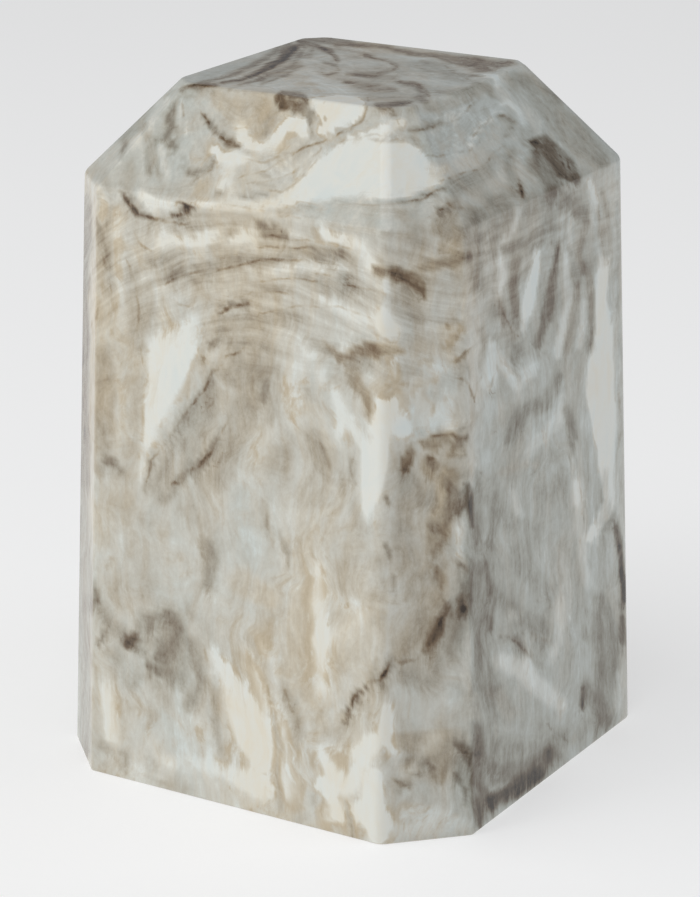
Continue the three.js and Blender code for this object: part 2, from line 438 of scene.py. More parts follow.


# Laid down in this order, each over the ones before it. Read from the picture
STREAKS = {
    # Grounds. Those of the chamfer, the right face, the sliver and the plateau are darker and cooler than
    # the front's: painted shade where less light falls on those faces
    "front ground": streak(0.25, 30, (230, 330, 150), (230, 560, 160), (230, 760, 150)),
    "chamfer ground in painted shade": streak(0.3, 16, (430, 260, 34), (430, 820, 34), warmth=-0.2),
    "right ground in painted shade": streak(0.36, 20, (545, 220, 66), (550, 760, 66), warmth=-0.5),
    # The sliver's dark grey ground is painted shade on the grazing left chamfer
    "sliver ground in painted shade": streak(0.52, 6, (85, 200, 6), (84, 750, 6), warmth=-0.6),
    "crown ground": streak(0.26, 20, (230, 140, 60), (400, 150, 60), (500, 130, 60)),
    "plateau ground in painted shade": streak(0.34, 12, (230, 80, 14), (330, 68, 26), (430, 78, 20), warmth=-0.3),

    # Plateau
    "plateau left grey": streak(0.34, 10, (205, 76, 5), (250, 70, 9), warmth=-0.6),
    "plateau centre pale": streak(
        0.2, 10, (232, 84, 3), (270, 82, 8), (310, 82, 12), (345, 92, 6), warmth=-0.5,
    ),
    "plateau curving band": streak(
        0.72, 5, (205, 82, 2), (238, 78, 3), (262, 69, 4), (284, 58, 5), (300, 48, 4),
    ),
    "plateau second band": streak(0.55, 5, (240, 83, 2), (270, 74, 3), (292, 66, 4), (306, 54, 4)),
    "plateau blob": streak(0.78, 5, (275, 52, 3), (288, 54, 6), (294, 50, 4)),
    "plateau outer band": streak(
        0.66, 4, (200, 83, 1.5), (222, 77, 2.5), (248, 66, 3), (270, 55, 3), (288, 45, 2),
    ),
    "plateau outer pale": streak(0.24, 3, (216, 81, 1), (238, 75, 1.5), (260, 65, 1.5), (278, 54, 1.5)),
    "plateau inner pale": streak(0.2, 3, (246, 79, 1), (266, 72, 1.5), (288, 61, 2), (300, 50, 1.5)),
    "plateau third band": streak(0.6, 4, (262, 83, 1.5), (288, 74, 2), (304, 62, 2.5), (311, 52, 2)),
    "plateau third pale": streak(0.22, 3, (286, 81, 1.5), (300, 72, 2), (312, 62, 2)),
    "plateau back left": streak(0.72, 4, (296, 42, 3), (316, 47, 3), (330, 52, 3), (336, 60, 2)),
    "plateau back pale": streak(0.3, 5, (300, 60, 3), (318, 66, 5), (345, 74, 4), warmth=-0.4),
    "back corner shade": streak(0.72, 5, (306, 40, 3), (330, 40, 4), (352, 43, 3)),
    "olive back band": streak(
        0.74, 4, (336, 44, 3), (380, 50, 3), (420, 55, 3), (460, 62, 5), (490, 66, 6), (515, 62, 2),
        warmth=0.5,
    ),
    "pale back line": streak(
        0.28, 4, (342, 50, 2), (375, 53, 2), (405, 57, 3), (430, 62, 3), (452, 68, 3), warmth=-0.3,
    ),
    "plateau loop": streak(
        0.62, 4, (345, 74, 1.5), (372, 76, 2), (392, 70, 2), (396, 65, 2), (388, 60, 1.5),
        (365, 56, 1.5),
    ),
    "loop inside": streak(0.38, 4, (356, 66, 3), (378, 66, 4), warmth=-0.4),
    "second loop": streak(
        0.6, 3, (322, 62, 1.5), (336, 66, 1.5), (338, 72, 1.5), (326, 76, 1.5), (316, 72, 1),
    ),
    "plateau right stripes": streak(0.62, 3, (420, 62, 1.5), (440, 68, 2), (462, 74, 2), (480, 74, 1.5)),
    "plateau right pale": streak(
        0.2, 3, (400, 78, 1.5), (424, 82, 2), (450, 84, 2), (468, 80, 2), warmth=-0.5,
    ),
    "plateau lower grey": streak(0.58, 4, (436, 92, 3), (456, 92, 3), (472, 88, 2), warmth=-0.3),
    "plateau right grey": streak(0.42, 8, (410, 66, 4), (440, 72, 7), (462, 78, 5), warmth=-0.5),
    "plateau lower dark": streak(0.58, 5, (344, 82, 2), (362, 85, 3), (395, 90, 2)),
    "ring dark": streak(0.62, 4, (396, 83, 1.5), (412, 85, 2), (426, 92, 3), (418, 97, 2)),
    "ring light": streak(0.26, 3, (402, 91, 3), (412, 92, 3)),
    "plateau front taupe": streak(0.45, 6, (368, 96, 4), (395, 99, 4), (425, 101, 4)),
    "far right pale": streak(0.04, 4, (484, 74, 3), (495, 75, 4), (497, 84, 4), warmth=-0.5),
    "far right taupe": streak(0.46, 5, (474, 84, 4), (488, 90, 5), (492, 96, 3)),

    # Front slope of the crown
    "crown left taupe": streak(
        0.38, 8, (204, 94, 4), (222, 102, 8), (240, 112, 10), (262, 102, 10), warmth=0.2,
    ),
    "under edge dark": streak(0.76, 4, (184, 88, 2), (196, 85, 2), (216, 85, 2), warmth=0.3),
    "hanging lobe": streak(0.42, 4, (256, 112, 14), (258, 128, 8), (259, 134, 5)),
    "scallop left": streak(0.03, 4, (241, 126, 5), (242, 138, 7), (250, 146, 6)),
    "scallop middle": streak(0.0, 5, (281, 129, 6), (268, 146, 7), (254, 149, 6)),
    "scallop right": streak(0.0, 4, (290, 125, 8), (300, 123, 8), (303, 134, 6)),
    "brown square": streak(0.74, 3, (284, 100, 9), (302, 103, 9), (296, 108, 7)),
    "brown square dark": streak(0.88, 4, (280, 98, 4), (283, 107, 4)),
    "brown tail": streak(0.6, 5, (306, 112, 7), (320, 116, 3)),
    "brown drip": streak(0.56, 4, (310, 116, 4), (313, 130, 2), (313, 142, 1.5)),
    "upper white pool": streak(
        0.0, 4, (318, 104, 7), (334, 110, 17), (352, 108, 14), (344, 122, 11), (326, 132, 7),
    ),
    "dark crescent": streak(0.7, 4, (203, 116, 1.5), (212, 127, 4), (226, 139, 5), (238, 147, 3)),
    "white under crescent": streak(0.0, 7, (210, 150, 4), (232, 160, 8), (252, 156, 6)),
    "swirl ground": streak(0.28, 8, (195, 124, 8), (196, 142, 10), (202, 150, 7), warmth=0.2),
    "swirl ring": streak(
        0.64, 4, (212, 154, 2), (211, 164, 4), (202, 173, 5), (188, 172, 3), (180, 166, 1.5),
    ),
    "swirl light": streak(0.2, 4, (192, 158, 5), (200, 162, 3)),
    "white ellipse": streak(0.06, 3, (186, 126, 2), (185, 134, 3)),
    "left slope white": streak(0.1, 8, (122, 162, 4), (140, 136, 5), (156, 112, 4), (168, 100, 3)),
    "left slope grey": streak(0.44, 7, (118, 142, 4), (132, 128, 6), (150, 108, 3), warmth=-0.4),
    "clump": streak(0.62, 4, (168, 120, 4), (172, 130, 4), (166, 140, 6), (172, 148, 4)),
    "clump light": streak(0.18, 3, (172, 136, 3)),
    "clump tail": streak(0.54, 5, (158, 138, 3), (148, 156, 4), (148, 172, 4)),
    "clump upper": streak(0.56, 3, (178, 100, 2), (174, 110, 2.5), (170, 120, 3)),
    "clump pale line": streak(0.14, 3, (184, 98, 1.5), (180, 112, 2), (178, 126, 2)),
    "slope taupe left": streak(
        0.46, 6, (140, 124, 4), (148, 140, 5), (152, 158, 5), (160, 176, 4), warmth=0.2,
    ),
    "slope streak": streak(0.5, 5, (124, 142, 3), (122, 156, 3)),
    "slope white right": streak(0.14, 5, (160, 152, 3), (164, 166, 4), (168, 176, 3)),
    "slope lilac": streak(0.34, 8, (150, 190, 5), (175, 192, 6), (215, 180, 8), warmth=0.2),
    "beside swirl white": streak(0.1, 8, (226, 172, 8), (222, 190, 8)),
    "shell ground": streak(0.16, 8, (262, 166, 14), (280, 160, 14), (296, 148, 6)),
    "shell beige": streak(
        0.36, 5, (240, 150, 2), (262, 160, 3), (288, 154, 3), (312, 142, 3), (340, 132, 3),
    ),
    "shell lines one": streak(
        0.4, 3, (246, 176, 1.5), (266, 176, 2), (286, 166, 2), (304, 150, 2), (322, 142, 1.5),
    ),
    "shell lines two": streak(0.36, 3, (250, 186, 1.5), (272, 186, 2), (292, 176, 2), (308, 160, 2)),
    "shell lines three": streak(
        0.34, 3, (244, 166, 1.5), (262, 168, 1.5), (282, 160, 1.5), (296, 148, 1.5),
    ),
    "great white pool": streak(0.0, 6, (318, 176, 12), (350, 164, 22), (400, 170, 26), (430, 172, 18)),
    "pool upper white": streak(0.04, 5, (352, 140, 5), (385, 132, 6), (400, 124, 5)),
    "pool foot cream": streak(0.06, 8, (300, 196, 8), (340, 192, 8), (380, 194, 7), (420, 188, 5)),
    "white beside shell": streak(0.04, 7, (300, 186, 8), (280, 200, 6)),
    "pool rim brown": streak(
        0.7, 3, (372, 205, 1.5), (396, 204, 1.5), (418, 199, 2), (432, 194, 2), (445, 190, 2),
    ),
    "corner tan": streak(0.56, 4, (376, 106, 3), (386, 112, 6), (392, 116, 4), warmth=0.5),
    "corner dark": streak(0.8, 3, (376, 106, 2), (402, 105, 3), (410, 104, 2)),
    "corner beige drip": streak(0.34, 5, (372, 116, 3), (364, 128, 3), (345, 134, 3)),
    "shell": streak(0.38, 4, (412, 140, 5), (416, 146, 3), warmth=0.4),
    "pink band": streak(0.34, 8, (335, 205, 6), (370, 212, 8), (400, 212, 6), warmth=0.5),

    # Corner facet and right slope
    # The facet's lilac is partly painted cool shade
    "facet lilac": streak(0.24, 10, (440, 150, 16), (470, 130, 16), (492, 112, 10), warmth=-0.8),
    "facet upper taupe": streak(0.46, 6, (432, 112, 5), (452, 106, 5), (474, 96, 5)),
    "facet dark band": streak(0.56, 5, (408, 132, 3), (430, 126, 4), (448, 122, 3)),
    "facet pale band": streak(0.2, 6, (420, 120, 3), (452, 114, 4), (486, 104, 4), warmth=-0.6),
    "facet lower shade": streak(0.44, 10, (455, 190, 10), (480, 176, 10), (498, 158, 5), warmth=-0.4),
    "v vein left": streak(
        0.06, 3, (470, 142, 3), (486, 124, 3), (498, 112, 3), (504, 102, 3), warmth=-0.4,
    ),
    "v vein right": streak(
        0.06, 3, (506, 100, 3), (518, 112, 3), (526, 128, 3), (530, 146, 4), (522, 162, 3), warmth=-0.4,
    ),
    "v inside": streak(0.5, 5, (500, 118, 3), (512, 122, 3), (506, 136, 4)),
    "v inside pale": streak(0.2, 5, (496, 138, 5), (500, 148, 5), (518, 146, 3), warmth=-0.4),
    "right slope taupe": streak(
        0.5, 10, (520, 84, 10), (548, 110, 12), (580, 140, 14), (604, 160, 8), warmth=-0.1,
    ),
    "right slope upper": streak(0.52, 8, (512, 78, 5), (532, 84, 8), (556, 100, 6)),
    "slate patch": streak(
        0.84, 5, (533, 142, 4), (544, 144, 10), (554, 158, 17), (568, 168, 12), (578, 178, 5),
        warmth=-0.9,
    ),
    "slate fringe": streak(0.6, 8, (536, 152, 5), (546, 176, 9), (552, 192, 8), warmth=-0.3),
    "slate light": streak(0.34, 5, (534, 170, 2), (531, 180, 3)),
    "dark spots": streak(0.8, 4, (519, 184, 2), (520, 198, 4), (519, 206, 2)),
    "facet right grey": streak(0.48, 6, (508, 160, 4), (512, 180, 5), (512, 200, 4), warmth=-0.3),

    # Left front, top to bottom
    "left upper beige": streak(0.4, 10, (102, 175, 6), (108, 200, 8), (104, 240, 10), (108, 285, 8)),
    "left upper white": streak(0.1, 8, (98, 185, 3), (106, 205, 4), (100, 224, 3)),
    "left brown streaks": streak(0.56, 4, (96, 220, 2), (103, 238, 3), (108, 262, 3), (112, 286, 2)),
    "smile white": streak(0.0, 5, (140, 194, 5), (154, 206, 7), (174, 208, 5)),
    "smile": streak(0.74, 3, (122, 191, 2), (130, 203, 2), (138, 212, 3), (150, 217, 3)),
    "smile far side": streak(0.74, 3, (172, 218, 2), (184, 214, 3), (192, 208, 3), (184, 204, 1.5)),
    "smile shade": streak(0.5, 6, (152, 221, 3), (170, 224, 3), (190, 222, 3)),
    "under smile beige": streak(0.38, 8, (150, 230, 5), (180, 230, 6), (210, 222, 5)),
    "left beige column": streak(0.42, 10, (128, 270, 9), (134, 310, 7), (140, 345, 6)),
    "left white column": streak(0.13, 10, (118, 210, 5), (120, 250, 5), (121, 300, 3)),
    "arch upper white": streak(0.03, 7, (160, 244, 6), (200, 240, 8), (238, 235, 7), (256, 236, 3)),
    "arch left shade": streak(0.5, 10, (152, 262, 6), (166, 266, 11), (184, 262, 7)),
    "tan fleck": streak(0.56, 4, (214, 195, 3), (224, 192, 2)),
    "grey flecks": streak(0.52, 4, (240, 196, 2), (252, 196, 3), (266, 194, 2), warmth=-0.4),
    "beige flecks": streak(0.4, 5, (280, 212, 5), (300, 206, 4), (312, 204, 3), warmth=0.3),
    "front top white": streak(0.02, 7, (200, 204, 4), (225, 206, 6), (255, 206, 6), (292, 200, 4)),
    "front top brown": streak(
        0.64, 6, (258, 224, 4), (268, 232, 8), (282, 234, 7), (274, 228, 5), warmth=0.2,
    ),
    "front top beige": streak(0.44, 8, (232, 228, 5), (212, 250, 6), (245, 254, 7), warmth=0.2),
    "front brown band": streak(
        0.56, 5, (262, 247, 4), (290, 246, 3), (318, 252, 6), (344, 256, 4), warmth=0.2,
    ),
    "front brown band tail": streak(0.54, 4, (318, 258, 4), (340, 260, 3)),
    "front band lower": streak(0.44, 8, (300, 276, 7), (330, 278, 10), (345, 268, 8)),
    "front top right white": streak(
        0.0, 7, (322, 230, 4), (336, 238, 6), (352, 244, 7), (368, 260, 8), (378, 272, 4),
    ),
    "right of pink beige": streak(
        0.36, 6, (330, 226, 3), (352, 230, 3), (386, 234, 4), (412, 236, 4), warmth=0.2,
    ),
    "arch band one": streak(0.48, 6, (170, 276, 5), (205, 270, 7), (245, 258, 7), (290, 258, 6)),
    "arch white one": streak(0.06, 5, (215, 282, 3), (255, 272, 5), (300, 268, 5), (350, 270, 4)),
    "arch band two": streak(
        0.4, 6, (235, 296, 4), (270, 290, 5), (320, 290, 6), (370, 292, 6), (400, 304, 4),
    ),
    "arch dark end": streak(0.62, 4, (222, 314, 3), (236, 307, 3), (248, 304, 4)),
    "arch under beige": streak(0.42, 8, (215, 322, 4), (250, 316, 7), (300, 318, 8)),
    "right arch white": streak(0.07, 9, (322, 300, 4), (348, 312, 7), (376, 320, 9), (396, 330, 5)),
    "olive patch": streak(
        0.76, 4, (378, 270, 5), (396, 272, 7), (412, 278, 7), (420, 286, 6), (424, 295, 2), warmth=0.5,
    ),
    "under edge grey": streak(0.4, 10, (402, 298, 10), (414, 316, 10), warmth=-0.2),
    "white wedge": streak(
        0.04, 9, (176, 330, 24), (168, 362, 20), (158, 398, 12), (148, 430, 7), (143, 480, 4),
    ),
    "wedge right edge": streak(0.1, 5, (196, 320, 3), (194, 350, 5)),
    "left column cream": streak(0.22, 12, (106, 330, 6), (120, 400, 8), (132, 440, 8)),
    "left column shade": streak(0.42, 9, (104, 352, 8), (108, 400, 10), (104, 450, 8)),
    "left column lower": streak(0.34, 9, (140, 380, 5), (134, 420, 6), (125, 480, 8)),
    "brown tufts": streak(0.56, 4, (106, 462, 3), (114, 464, 4)),
    "under arch taupe": streak(0.44, 12, (228, 334, 12), (262, 342, 14), (262, 372, 16), (236, 378, 12)),
    "under arch shade": streak(0.54, 6, (212, 345, 5), (230, 332, 4)),
    "pale notch": streak(0.16, 6, (214, 356, 5), (208, 366, 3)),
    "diagonal taupe": streak(
        0.48, 10, (214, 376, 5), (208, 404, 10), (196, 432, 14), (180, 456, 16), (166, 490, 14),
    ),
    "diagonal shade": streak(0.6, 5, (212, 382, 3), (196, 404, 4), (180, 424, 4), (166, 440, 3)),
    "diagonal lower shade": streak(0.52, 6, (152, 462, 4), (148, 482, 4), (146, 500, 3)),
    "diagonal beige": streak(0.44, 12, (246, 404, 12), (236, 440, 12), (222, 480, 10)),
    "diagonal gap": streak(0.24, 8, (222, 420, 4), (206, 446, 4)),
    "second diagonal shade": streak(0.6, 5, (220, 440, 4), (208, 456, 5), (190, 470, 5), (178, 480, 4)),
    "brown haze": streak(0.56, 7, (266, 384, 5), (260, 400, 4)),
    "middle cream": streak(0.16, 12, (296, 366, 12), (290, 420, 12), (260, 452, 10)),
    "middle white": streak(0.04, 10, (306, 350, 6), (316, 366, 7), (322, 380, 4)),
    "small hook": streak(0.46, 4, (302, 340, 3), (318, 344, 3), (326, 352, 3)),
    "middle haze": streak(0.42, 6, (306, 388, 4), (314, 400, 3)),
    "middle drip": streak(0.5, 6, (314, 440, 5), (324, 452, 4), (328, 466, 3)),
    "middle drip lower": streak(0.48, 5, (350, 460, 3), (351, 482, 3)),
    "middle beige": streak(0.36, 9, (318, 480, 10), (300, 500, 10), (338, 500, 7)),
    "middle shade": streak(0.46, 9, (314, 440, 8), (322, 470, 8), (340, 484, 6)),
    "white beside tongue": streak(0.05, 9, (334, 390, 5), (344, 424, 7), (338, 446, 4)),
    "rust patch": streak(
        0.66, 5, (338, 358, 4), (352, 352, 6), (366, 350, 8), (384, 347, 7), (400, 349, 3), warmth=1.0,
    ),
    "rust arc": streak(0.6, 4, (324, 344, 2), (334, 352, 3), (338, 358, 2), warmth=0.8),
    "rust streak": streak(
        0.54, 7, (350, 364, 8), (352, 380, 7), (366, 396, 5), (372, 424, 3), warmth=0.6,
    ),
    "rust lower": streak(0.46, 6, (388, 384, 4), (404, 384, 4), warmth=0.6),
    "white tongue": streak(
        0.0, 7, (386, 404, 10), (380, 430, 12), (374, 460, 15), (370, 490, 13), (368, 512, 6),
        (367, 522, 2),
    ),
    "tongue left white": streak(0.06, 6, (352, 424, 6), (362, 448, 5)),

    # Lower front
    "lower left pink": streak(0.34, 16, (112, 500, 14), (150, 540, 20), (130, 590, 24), warmth=0.3),
    "lower left white": streak(0.28, 8, (146, 500, 4), (150, 520, 3)),
    "middle green": streak(0.24, 18, (250, 500, 20), (256, 560, 24), (262, 600, 24), warmth=-0.4),
    "olive haze": streak(0.54, 9, (206, 544, 7), (212, 560, 8), (208, 584, 6)),
    "pink haze": streak(0.3, 12, (240, 580, 16), (270, 600, 10), warmth=0.4),
    "thin shades": streak(0.5, 4, (265, 500, 2), (267, 525, 3)),
    "thin shades right": streak(0.5, 4, (278, 530, 2), (286, 545, 3), (290, 565, 2)),
    "right lower beige": streak(
        0.32, 12, (352, 548, 14), (350, 590, 14), (350, 640, 14), (330, 672, 10), warmth=0.3,
    ),
    "left of chamfer": streak(0.4, 8, (378, 560, 6), (376, 620, 8)),
    "lower white glow": streak(0.07, 14, (318, 566, 5), (316, 602, 9), (322, 640, 7)),
    "glow right": streak(0.16, 9, (352, 606, 7), (340, 600, 7)),
    "edge spot": streak(0.6, 5, (94, 590, 4), (95, 600, 4)),
    "dark blotch": streak(0.62, 12, (146, 620, 10), (168, 622, 14), (172, 650, 18), (178, 676, 12)),
    "blotch heart": streak(0.76, 8, (168, 612, 5), (178, 630, 4), (168, 645, 6), (156, 656, 4)),
    "blotch left": streak(0.66, 6, (136, 636, 5), (128, 644, 6), (140, 650, 4)),
    "blotch far left": streak(0.62, 5, (104, 636, 4), (96, 646, 3)),
    "blotch lower": streak(0.64, 6, (148, 664, 4), (160, 670, 6)),
    "blotch right": streak(0.54, 10, (192, 650, 12), (200, 680, 9), (190, 706, 6)),
    "blotch below": streak(0.44, 10, (112, 654, 8), (130, 676, 12), warmth=-0.3),
    "lower white tongue": streak(
        0.05, 9, (216, 656, 5), (228, 672, 9), (240, 704, 15), (252, 738, 15), (262, 760, 8),
    ),
    "tongue left shade": streak(0.5, 6, (214, 690, 4), (216, 720, 5), (220, 748, 4)),
    "tongue right shade": streak(0.44, 7, (246, 640, 4), (264, 668, 5), (272, 700, 4)),
    "foot left white": streak(0.04, 8, (108, 690, 8), (112, 715, 9), (113, 735, 9), (115, 754, 4)),
    "foot grey": streak(0.22, 10, (160, 722, 12), (176, 745, 12), warmth=-0.5),
    "foot left beige": streak(0.44, 8, (100, 745, 5), (126, 756, 5), (124, 772, 4)),
    "foot beige": streak(0.44, 8, (152, 764, 6), (170, 774, 6), (186, 790, 6), (150, 780, 4)),
    "foot middle pale": streak(0.1, 9, (190, 762, 5), (222, 770, 8), (262, 790, 10), (240, 782, 7)),
    "foot brown one": streak(0.5, 6, (272, 712, 3), (278, 745, 4), (279, 780, 4), (283, 805, 4)),
    "foot brown two": streak(0.48, 8, (282, 688, 5), (294, 712, 6), (300, 735, 5)),
    "foot beige right": streak(0.34, 10, (318, 700, 8), (308, 690, 8), (326, 728, 5), warmth=0.3),
    "foot pale right": streak(0.05, 10, (330, 752, 12), (345, 784, 14), (370, 745, 12), (324, 792, 12)),
    "foot tan": streak(0.4, 8, (312, 800, 8), (325, 812, 7), (300, 818, 5)),
    "foot streak": streak(0.62, 4, (344, 808, 3), (348, 818, 3), (349, 828, 2)),
    "front foot white": streak(0.0, 8, (374, 780, 10), (372, 810, 14), (378, 832, 12)),

    # Chamfer
    "chamfer top brown": streak(
        0.56, 8, (452, 208, 8), (444, 226, 12), (458, 234, 8), (446, 246, 8), warmth=0.4,
    ),
    "chamfer top dark": streak(0.8, 3, (440, 212, 4), (446, 209, 2)),
    "chamfer second brown": streak(0.56, 5, (420, 266, 3), (445, 264, 6), (466, 256, 6), warmth=0.2),
    "chamfer grey": streak(0.3, 8, (448, 282, 12), (446, 310, 16), warmth=-0.6),
    "chamfer rust spots": streak(0.62, 3, (446, 328, 3), (448, 327, 2), warmth=0.7),
    "chamfer rust specks": streak(0.52, 4, (460, 326, 2), (462, 330, 3), (445, 349, 2), warmth=0.7),
    "chamfer beige": streak(0.34, 8, (412, 345, 6), (420, 360, 4)),
    "chamfer white": streak(
        0.12, 10, (424, 362, 8), (440, 380, 18), (430, 410, 24), (425, 424, 16), (404, 432, 8),
        warmth=-0.9,
    ),
    "chamfer brown edge": streak(
        0.74, 4, (422, 444, 2), (434, 438, 2), (446, 437, 3), (456, 434, 2), (462, 440, 4),
        (468, 436, 2), warmth=0.5,
    ),
    "chamfer brown": streak(0.58, 5, (428, 446, 6), (450, 448, 9), (462, 452, 6), warmth=0.4),
    "chamfer brown light": streak(0.34, 4, (448, 446, 4), (442, 454, 4)),
    "chamfer bark": streak(
        0.52, 7, (430, 470, 9), (448, 480, 14), (446, 505, 14), (438, 530, 13), (434, 548, 9),
        warmth=0.4,
    ),
    "chamfer bark dark": streak(
        0.74, 4, (430, 461, 4), (452, 494, 6), (434, 530, 6), (468, 500, 5), warmth=0.3,
    ),
    "chamfer square": streak(0.7, 4, (412, 456, 5), (407, 466, 6), (404, 472, 4), warmth=0.7),
    "chamfer left beige": streak(0.44, 8, (404, 500, 8), (404, 550, 10), (412, 590, 14)),
    "chamfer stripe": streak(0.06, 4, (461, 528, 5), (460, 545, 6), (462, 556, 4)),
    "chamfer rust fringe": streak(0.6, 4, (458, 562, 3), (466, 566, 3), (472, 572, 3), warmth=0.6),
    "chamfer cream": streak(0.36, 8, (430, 572, 8), (455, 588, 10), (452, 575, 8)),
    "chamfer rust drops": streak(0.58, 4, (434, 568, 3), (442, 580, 4), (440, 588, 3), warmth=0.6),
    "edge dark": streak(0.74, 4, (469, 486, 4), (470, 510, 3), (472, 526, 2)),
    "edge knots upper": streak(0.66, 4, (388, 498, 3), (391, 506, 2)),
    "edge knots middle": streak(0.62, 4, (386, 546, 3), (389, 556, 3)),
    "edge knots lower": streak(0.56, 4, (392, 580, 3), (391, 596, 3)),
    "river glow": streak(
        0.46, 8, (430, 604, 16), (424, 625, 18), (404, 646, 12), (396, 660, 6), warmth=0.2,
    ),
    "river": streak(
        0.72, 5, (446, 604, 3), (447, 614, 4), (440, 622, 5), (434, 632, 6), (428, 642, 5),
        (424, 654, 3), warmth=0.4,
    ),
    "river mouth": streak(0.74, 4, (462, 600, 4), (465, 606, 4), (460, 610, 3), warmth=0.5),
    "river lower": streak(0.66, 3, (392, 664, 2), (387, 672, 4), (380, 682, 2)),
    "river end": streak(0.76, 3, (366, 690, 2), (356, 696, 4), (352, 704, 3), (344, 714, 3)),
    "river fringe": streak(0.4, 6, (376, 662, 3), (372, 676, 3), (384, 690, 4)),
    "below river pale": streak(
        0.2, 8, (404, 694, 12), (440, 668, 12), (455, 690, 12), (420, 710, 16), warmth=-0.4,
    ),
    "chamfer lower brown": streak(
        0.48, 8, (398, 742, 8), (430, 745, 14), (455, 742, 12), (440, 768, 14), (410, 768, 10),
        warmth=0.4,
    ),
    "chamfer lower dark": streak(
        0.76, 4, (454, 744, 3), (466, 750, 5), (472, 752, 4), (470, 766, 3), warmth=0.3,
    ),
    "chamfer lower knots": streak(
        0.66, 4, (422, 764, 4), (432, 768, 3), (400, 784, 4), (412, 788, 3), warmth=0.3,
    ),
    "chamfer foot streaks": streak(0.6, 4, (456, 776, 3), (464, 790, 3), (466, 802, 3)),
    "chamfer foot pale": streak(
        0.14, 8, (408, 812, 10), (440, 820, 13), (460, 824, 8), (395, 830, 8), warmth=-0.3,
    ),

    # Right face. The cool grey warmth of its marks is partly painted cool shade, the face being turned
    # from the key light
    "right top shade": streak(
        0.54, 8, (478, 220, 8), (500, 208, 12), (540, 206, 12), (480, 240, 6), warmth=-0.4,
    ),
    "right top pale": streak(
        0.16, 5, (484, 248, 3), (500, 244, 3), (512, 228, 3), (518, 212, 2), warmth=-0.4,
    ),
    "right drop by edge": streak(0.08, 5, (592, 182, 4), (597, 200, 5), (594, 220, 3), warmth=-0.3),
    "right far streaks": streak(0.46, 4, (604, 190, 2), (610, 215, 3), (604, 235, 2)),
    "right far shade": streak(0.56, 5, (590, 222, 3), (586, 240, 3), (580, 258, 3), (588, 275, 3)),
    "right left pale": streak(0.18, 6, (486, 266, 3), (484, 290, 4), (478, 312, 4), warmth=-0.5),
    "right mid shade": streak(0.62, 5, (516, 256, 4), (512, 285, 5), (516, 314, 5), warmth=-0.2),
    "right small drop": streak(0.1, 4, (500, 250, 3), (504, 270, 4), (500, 290, 3), warmth=-0.4),
    "right thin drop": streak(0.14, 4, (572, 218, 2), (570, 234, 3), (572, 246, 2), warmth=-0.4),
    "right far drop": streak(0.12, 4, (582, 300, 2), (582, 325, 3), (580, 348, 3), warmth=-0.4),
    "right drop near": streak(
        0.0, 4, (536, 254, 3), (532, 285, 6), (527, 310, 6), (522, 332, 3), warmth=-0.3,
    ),
    "right band": streak(
        0.7, 4, (556, 248, 3), (553, 275, 4), (549, 300, 6), (545, 325, 4), (538, 344, 5), warmth=-0.2,
    ),
    "right drop middle": streak(
        0.1, 4, (566, 256, 3), (568, 300, 4), (564, 330, 5), (560, 352, 5), warmth=-0.4,
    ),
    "right thin band": streak(0.52, 4, (576, 285, 3), (572, 320, 4), (570, 350, 3)),
    "right thin band two": streak(0.54, 4, (590, 280, 4), (592, 310, 5), (594, 345, 4)),
    "right white column": streak(
        0.0, 4, (606, 262, 5), (602, 300, 6), (604, 340, 10), (600, 390, 13), (604, 440, 10),
        (610, 500, 6), (590, 540, 5),
    ),
    "right edge strip": streak(
        0.34, 3, (618, 200, 2), (617, 250, 2), (619, 310, 2), (619, 360, 1.5), warmth=-0.4,
    ),
    "right haze": streak(0.48, 6, (500, 300, 3), (504, 325, 4), (512, 340, 4)),
    "right haze left": streak(0.44, 6, (480, 330, 4), (484, 350, 4)),
    "right shade lump": streak(0.56, 7, (518, 352, 6), (510, 368, 5), warmth=-0.5),
    "right pale lump": streak(
        0.1, 6, (534, 366, 6), (515, 385, 5), (490, 350, 6), (488, 382, 9), warmth=-0.5,
    ),
    "right grey patch": streak(
        0.62, 9, (560, 378, 5), (545, 402, 9), (524, 412, 8), (510, 440, 6), warmth=-0.7,
    ),
    "right pale slope": streak(
        0.14, 5, (562, 396, 3), (556, 420, 5), (540, 440, 6), (528, 454, 4), warmth=-0.4,
    ),
    "right dark drip": streak(0.56, 5, (566, 410, 4), (570, 435, 6), (568, 455, 3), warmth=-0.4),
    "right lilac": streak(0.24, 8, (486, 405, 8), (482, 440, 7), (488, 465, 8), warmth=-0.8),
    "right fringe": streak(0.44, 6, (500, 474, 4), (520, 468, 4), (536, 466, 4)),
    "right column grey": streak(0.42, 7, (540, 480, 6), (552, 500, 6), (560, 470, 5), warmth=-0.4),
    "right lower clouds": streak(
        0.48, 8, (492, 500, 8), (505, 520, 7), (535, 530, 9), (520, 560, 10), (545, 590, 10),
        warmth=-0.5,
    ),
    "right lower pale": streak(0.2, 6, (512, 494, 3), (518, 514, 4), warmth=-0.4),
    "right lower pale far": streak(0.16, 7, (574, 480, 3), (580, 530, 4), (590, 585, 5), warmth=-0.4),
    "right lower dark": streak(
        0.58, 5, (484, 556, 3), (486, 576, 5), (492, 588, 4), (480, 600, 4), warmth=-0.3,
    ),
    "right knots": streak(0.68, 3, (490, 618, 2), (490, 630, 3)),
    "right curve": streak(0.64, 4, (502, 638, 2), (516, 640, 3), (522, 650, 4), (530, 656, 3)),
    "right curve shade": streak(0.5, 6, (534, 620, 4), (535, 634, 5), (548, 640, 3)),
    "right middle shade": streak(0.52, 8, (500, 600, 7), (520, 618, 10), (548, 628, 8), warmth=-0.3),
    "right pale river": streak(
        0.12, 9, (498, 660, 7), (522, 670, 11), (545, 690, 10), (560, 706, 6), warmth=-0.3,
    ),
